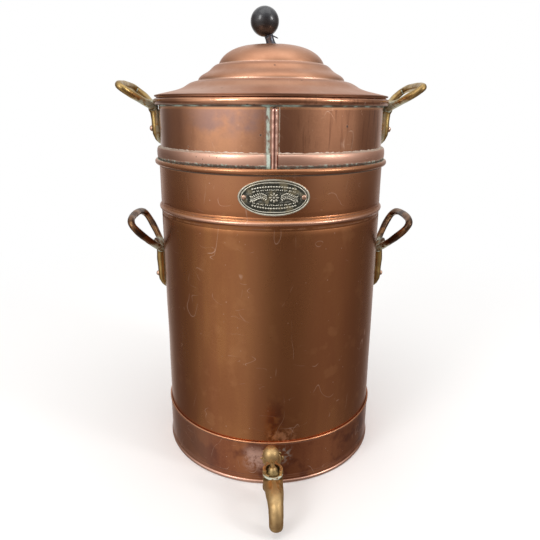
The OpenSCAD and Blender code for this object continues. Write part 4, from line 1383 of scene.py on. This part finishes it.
barrel_outline = [
    (0, BARREL_LOW), (11.2, BARREL_LOW), (12.2, BARREL_LOW + 0.5), (12.6, BARREL_LOW + 1.6),
    (12.35, BARREL_LOW + 5), (12.1, 38), (12.35, 45), (12.65, 47.2), (BARREL_R, 52.9), (12.4, 53.7),
    (11.7, BARREL_HIGH), (0, BARREL_HIGH),
]
TIP_R = 8.3
spout_line, spout_sizes = along_spout((12.4, 10.9, 9.15, 8.6, TIP_R))
spout_sizes = [(min(wide, TIP_R + 0.06 * i), wide) for i, (wide, _) in enumerate(spout_sizes)]
rounded = [(s[0] * k, s[1] * k) for s, k in zip(spout_sizes[-3:], (1.0, 0.985, 0.93))]
across_spout = Vector((math.cos(SPOUT_YAW), math.sin(SPOUT_YAW), 0))
tap_shape = joined(
    placed(cylinder(SHANK_R - 0.05, TANK_R - SHEET - 12, -TAP_Y), to_shank),
    placed(lathe(barrel_outline, even(96)), at_barrel),
    bar(spout_line, spout_sizes[:-3] + rounded, 40, up=across_spout),
)
bore_line, bore_sizes = along_spout((PASSAGE_R, 5.3, 5.7, 6.0, 6.05))
drop_more = (bore_line[-1][0], bore_line[-1][1], bore_line[-1][2] - 3)
tap_mesh = cast_mesh(
    "cast_tap", tap_shape, 0.42, 5,
    [
        placed(cylinder(PLUG_HOLE_R, 0, 80, 96), at_barrel),
        placed(cylinder(PASSAGE_R, 120, -TAP_Y), to_shank),
        bar([*bore_line, drop_more], [*bore_sizes, bore_sizes[-1]], 40, up=across_spout),
        placed(wedge(-NOTCH_HALF, NOTCH_HALF, 30, NOTCH_Z, 70), at_barrel),
    ],
)
add_casting("cast_tap", tap_mesh, "tank", TAP_BRASS, "tap_body", (6, 0.2, 6), (30, 0.5))

# %% Plug of the tap
LEAN = math.radians(-7)
CONE_LOW, CONE_TOP = 50.1, 56.6
GRIP_Z, GRIP_R = 75.5, 10
PLUG_R, PLUG_SCREW_R = 8.3, 2.55
LUG_TURN = (-61, -29)  # degrees from the front
plug_low = box_mm("tap_plug")[0].z
plug_outline = [
    (0, plug_low), (PLUG_R, plug_low), (PLUG_R, CONE_LOW - 0.4), (8.0, CONE_LOW + 0.3), (6.3, 52.6),
    (4.4, 54.9), (3.1, CONE_TOP), (2.8, CONE_TOP + 0.8), (0, CONE_TOP + 0.8),
]
lean_over = Matrix.Translation((0, TAP_Y, CONE_TOP - 0.5)) @ Matrix.Rotation(LEAN, 4, "Y")
grip_up = GRIP_Z - CONE_TOP
grip_outline = half_round(GRIP_R, grip_up, 40)
neck_outline = [
    (0, -1), (3.0, -1), (2.75, 3), (2.9, grip_up - GRIP_R), (4.4, grip_up - 8.6), (0, grip_up - 7),
]
plug_shape = joined(
    placed(lathe(plug_outline, even(96)), at_barrel),
    placed(lathe(neck_outline, even(48)), lean_over),
    placed(lathe(grip_outline, even(72)), lean_over),
    placed(wedge(*LUG_TURN, 11.2, NOTCH_Z + 0.4, CONE_LOW + 0.4), at_barrel),
)
sideways = Matrix.Translation((0, TAP_Y, TAP_Z)) @ Matrix.Rotation(math.pi / 2, 4, "Y")
plug_mesh = cast_mesh(
    "turned_plug", plug_shape, 0.4, 4,
    [
        placed(cylinder(PASSAGE_R, -20, 20), sideways),
        placed(cylinder(PLUG_SCREW_R, plug_low - 1, plug_low + 7.5), at_barrel),
    ],
)
add_casting("turned_plug", plug_mesh, "plug", TAP_BRASS, "tap_plug", hollows=(30, 0.5))

# %% [markdown]
# ## Pan
# The pan's wall hangs inside the tank. A half-round bead carries it on the tank's rim, and a
# strip in front covers the joint of its sheet. The solder along the bead's upper edge was
# run in by hand, so it is ragged.

# %% Pan wall, stop bead and strip
pan_outline = rolled_wall(
    PAN_R - SHEET, PAN_R, box_mm("pan_shell")[0].z, PAN_RIM_R, PAN_RIM_Z, PAN_WIRE
)
pan_shape = lathe(with_rows(pan_outline, 5), even(288), sheet_push(9, 0.3, 470, seam=False))
pan_mesh = new_mesh("pan_wall", pan_shape)
add_piece("pan_wall", pan_mesh, "pan", PAN_COPPER, ["pan_shell"])

BEAD_IN = PAN_R + SOLDER_GAP
BEAD_OUT = bead_high.x
widest = (BEAD_OUT, bead_low.z + 8)
bead_outline = [
    (BEAD_IN, bead_low.z),
    *bezier((149.5, bead_low.z), (151.6, bead_low.z + 0.2), (BEAD_OUT, bead_low.z + 3.5), widest, 10),
    *bezier(widest, (BEAD_OUT, bead_low.z + 12.5), (151.6, bead_high.z - 0.3), (149.6, bead_high.z), 10)[1:],
    (148.6, bead_high.z + 0.2),
    (147.75, bead_high.z + 0.7),
    (BEAD_IN, bead_high.z + 1.3),
]


def bead_push(angle, radius, height):
    """Soft waves in the bead, and a ragged upper edge of solder."""
    radius += uneven(angle, height, 30, 0.14, 4) if radius > BEAD_IN + 0.1 else 0
    if height > bead_high.z + 0.1:
        ragged = uneven(angle, 0, 4, 0.9, 7) + uneven(angle, 0, 1.7, 0.5, 8)
        height += max(-0.6, ragged) * (height - bead_high.z)
    return radius, height


GAP_HALF, GAP_R = 4.25, 149.8
gap = math.degrees(2 * math.asin(GAP_HALF / GAP_R))
bead_shape = lathe(bead_outline, even(420, gap), bead_push, closed=False)
bead_mesh = new_mesh("half_round_bead", bead_shape)
add_piece("half_round_bead", bead_mesh, "pan", BEAD_COPPER, ["stop_bead"])

STRIP_R = (strip_high.x - strip_low.x) / 2
strip_middle = strip_low.y + STRIP_R
strip_path = [(0, strip_middle, z) for z in np.linspace(bead_low.z, strip_high.z - STRIP_R, 30)]
strip_sizes = [(STRIP_R * (1 + 0.02 * math.sin(k * 1.3)),) * 2 for k in range(30)]
for rise, share in ((1.3, 0.95), (2.5, 0.8), (3.4, 0.58), (3.9, 0.3)):
    strip_path.append((0, strip_middle, strip_high.z - STRIP_R + rise))
    strip_sizes.append((STRIP_R * share,) * 2)
strip_mesh = cast_mesh(
    "front_strip", bar(strip_path, strip_sizes, 36, up=Vector((1, 0, 0))), 0.4, 4,
    [cylinder(PAN_R + SOLDER_GAP, 400, 500, 360)],
)
roughen(strip_mesh, 4, 0.12, 2)
add_piece("front_strip", strip_mesh, "pan", STRIP_COPPER, ["seam_strip"])

# %% [markdown]
# ## Lid and knob
# The lid is spun over a former: a rounded crown, an ogee step and a hollow-curved skirt. Its
# outline is four curves. The inside follows at the sheet's thickness. The knob is turned
# wood with a hard black finish, on a neck and a tab washer, and its stud is bent.

# %% Lid
LID_T = 1.3
CROWN_R, STEP_R = 68.5, 95.8
HEM_Z = lid_low.z
skirt_z = LID_STEP_Z - 7.3
flat_end, ogee, skirt_top = (17.8, LID_TOP), (82.2, LID_CREASE_Z - 9), (113.8, skirt_z)
lid_curves = (
    (flat_end, (45.2, LID_TOP), (64.4, LID_TOP - 10.6), (CROWN_R, LID_CREASE_Z), 18),
    ((CROWN_R, LID_CREASE_Z), (75.5, LID_CREASE_Z - 1), (77.2, LID_CREASE_Z - 5.4), ogee, 10),
    (ogee, (86.2, LID_CREASE_Z - 12), (95.1, LID_STEP_Z + 6.2), (STEP_R, LID_STEP_Z), 12),
    ((STEP_R, LID_STEP_Z), (105.8, LID_STEP_Z - 1.8), (107.8, skirt_z + 3.8), skirt_top, 10),
    (skirt_top, (121.8, skirt_z - 5), (LID_EDGE_R - 16, HEM_Z + 5.9), (LID_EDGE_R, HEM_Z + 1.65), 16),
)
outside = [(0.0, LID_TOP), (6.0, LID_TOP), (12.0, LID_TOP), flat_end]
for *corners, steps in lid_curves:
    outside += bezier(*corners, steps)[1:]


def moved_in(line, depth):
    """The line moved square to itself, to its inner side."""
    found = []
    for i in range(len(line)):
        before, after = line[max(i - 1, 0)], line[min(i + 1, len(line) - 1)]
        long = math.dist(before, after)
        found.append((
            max(0.0, line[i][0] + depth * (after[1] - before[1]) / long),
            line[i][1] - depth * (after[0] - before[0]) / long,
        ))
    return found


inside = [p for p in moved_in(outside, LID_T) if p[0] < LID_EDGE_R - 6]
hem = arc(LID_EDGE_R - 0.6, HEM_Z + 0.62, 0.6, 20, -90, 5) + [(LID_EDGE_R - 5.5, HEM_Z)]


def lid_push(angle, radius, height):
    """The lid is a little oval, and its skirt waves."""
    calm = min(1.0, radius / 30)
    wave = uneven(angle, radius, 45, 0.3, 11) * calm
    return radius * (1 + 0.0012 * math.sin(2 * angle + 1) * calm), height + wave * 0.6


lid_mesh = new_mesh("spun_lid", lathe(outside + hem + inside[::-1], even(288), lid_push))
add_piece("spun_lid", lid_mesh, "lid", LID_COPPER, ["lid_shell"], corner=28)

# %% Knob
KNOB_LEAN = math.radians(-17)
BALL_R, NECK_R, NECK_H = 18.2, 5.5, 11.0
on_stud = Matrix.Translation((0, 0, LID_TOP)) @ Matrix.Rotation(KNOB_LEAN, 4, "Y")
WASHER, STUD_R = 1.2, 2.65
seat = NECK_H + 0.1 + WASHER
ball_centre = seat + math.sqrt(BALL_R ** 2 - NECK_R ** 2)
low_angle = -math.acos(NECK_R / BALL_R)
ball_line = [(0, seat)] + half_round(BALL_R, ball_centre, 60, low_angle)


def wooden(angle, radius, height):
    """Wood turned by hand is a little out of round."""
    wave = noise.noise(Vector((math.sin(angle), math.cos(angle), height / 12)) * 0.9)
    return radius * (1 + 0.006 * wave), height


ball_mesh = new_mesh("black_ball", placed(lathe(ball_line, even(120), wooden), on_stud))
add_piece("black_ball", ball_mesh, "lid", BLACK_KNOB, ["knob_ball"])

neck_line = [
    (0, -3), (7.2, -3), (6.8, 0.6), (6.2, 1.8), (5.7, 3.6), (5.45, 7.0), (5.6, NECK_H - 0.4),
    (5.3, NECK_H), (0, NECK_H),
]
stud_hole = placed(cylinder(STUD_R, -6, 20), on_stud)
neck_mesh = cast_mesh(
    "ball_neck", placed(lathe(neck_line, even(64)), on_stud), 0.35, 3,
    [cylinder(40, LID_TOP - 40, LID_TOP + 0.06), stud_hole],
)
add_casting("ball_neck", neck_mesh, "lid", DARK_IRON, "knob_neck", (3, 0.15, 5))

tab_disc = cylinder(NECK_R + 0.2, NECK_H + 0.05, NECK_H + 0.05 + WASHER, 48)
tab_flat = [(0, -3), (6, -2.2), (9, 0), (6, 2.2), (0, 3)]
tab_bend = Matrix.Rotation(math.radians(40), 4, "Y")
tab_place = on_stud @ Matrix.Translation((NECK_R - 2, 0, NECK_H + 0.05)) @ tab_bend
tab_mesh = cast_mesh(
    "tab_ring", joined(placed(tab_disc, on_stud), placed(slab(tab_flat, 0, WASHER), tab_place)), 0.25, 2,
    [stud_hole],
)
add_casting("tab_ring", tab_mesh, "lid", DARK_IRON, "knob_tab_washer")

# %% [markdown]
# ## Pieces that stay as the frame has them
# The plain parts inside, such as the strainer, the bottom and the nuts, already have their
# true shape. They only need a finish. The ones inside the tank share the copper of the
# sheet they are made of, and the iron wires show only at the slits of the rolls.

# %% Finish the plain parts
PLAIN = (
    (TANK_COPPER, ["tank_bottom"]),
    (PAN_COPPER, ["pan_strainer"]),
    (LID_COPPER, ["lid_collar"]),
    (RIVET_COPPER, ["tank_handle_burrs", "pan_handle_burrs"]),
    (LEATHER, ["tap_gasket"]),
    (HANDLE_BRASS, ["tap_backnut", "tap_plug_washer", "tap_plug_screw"]),
    (DARK_IRON, ["tank_rim_wire", "base_rim_wire", "pan_rim_wire"]),
    (DARK_IRON, ["knob_stud", "knob_under_washer", "knob_nut"]),
)
for material, nodes in PLAIN:
    for node in nodes:
        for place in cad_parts[node].material_slots:
            place.material = material
    print(", ".join(nodes), "in", material.name)
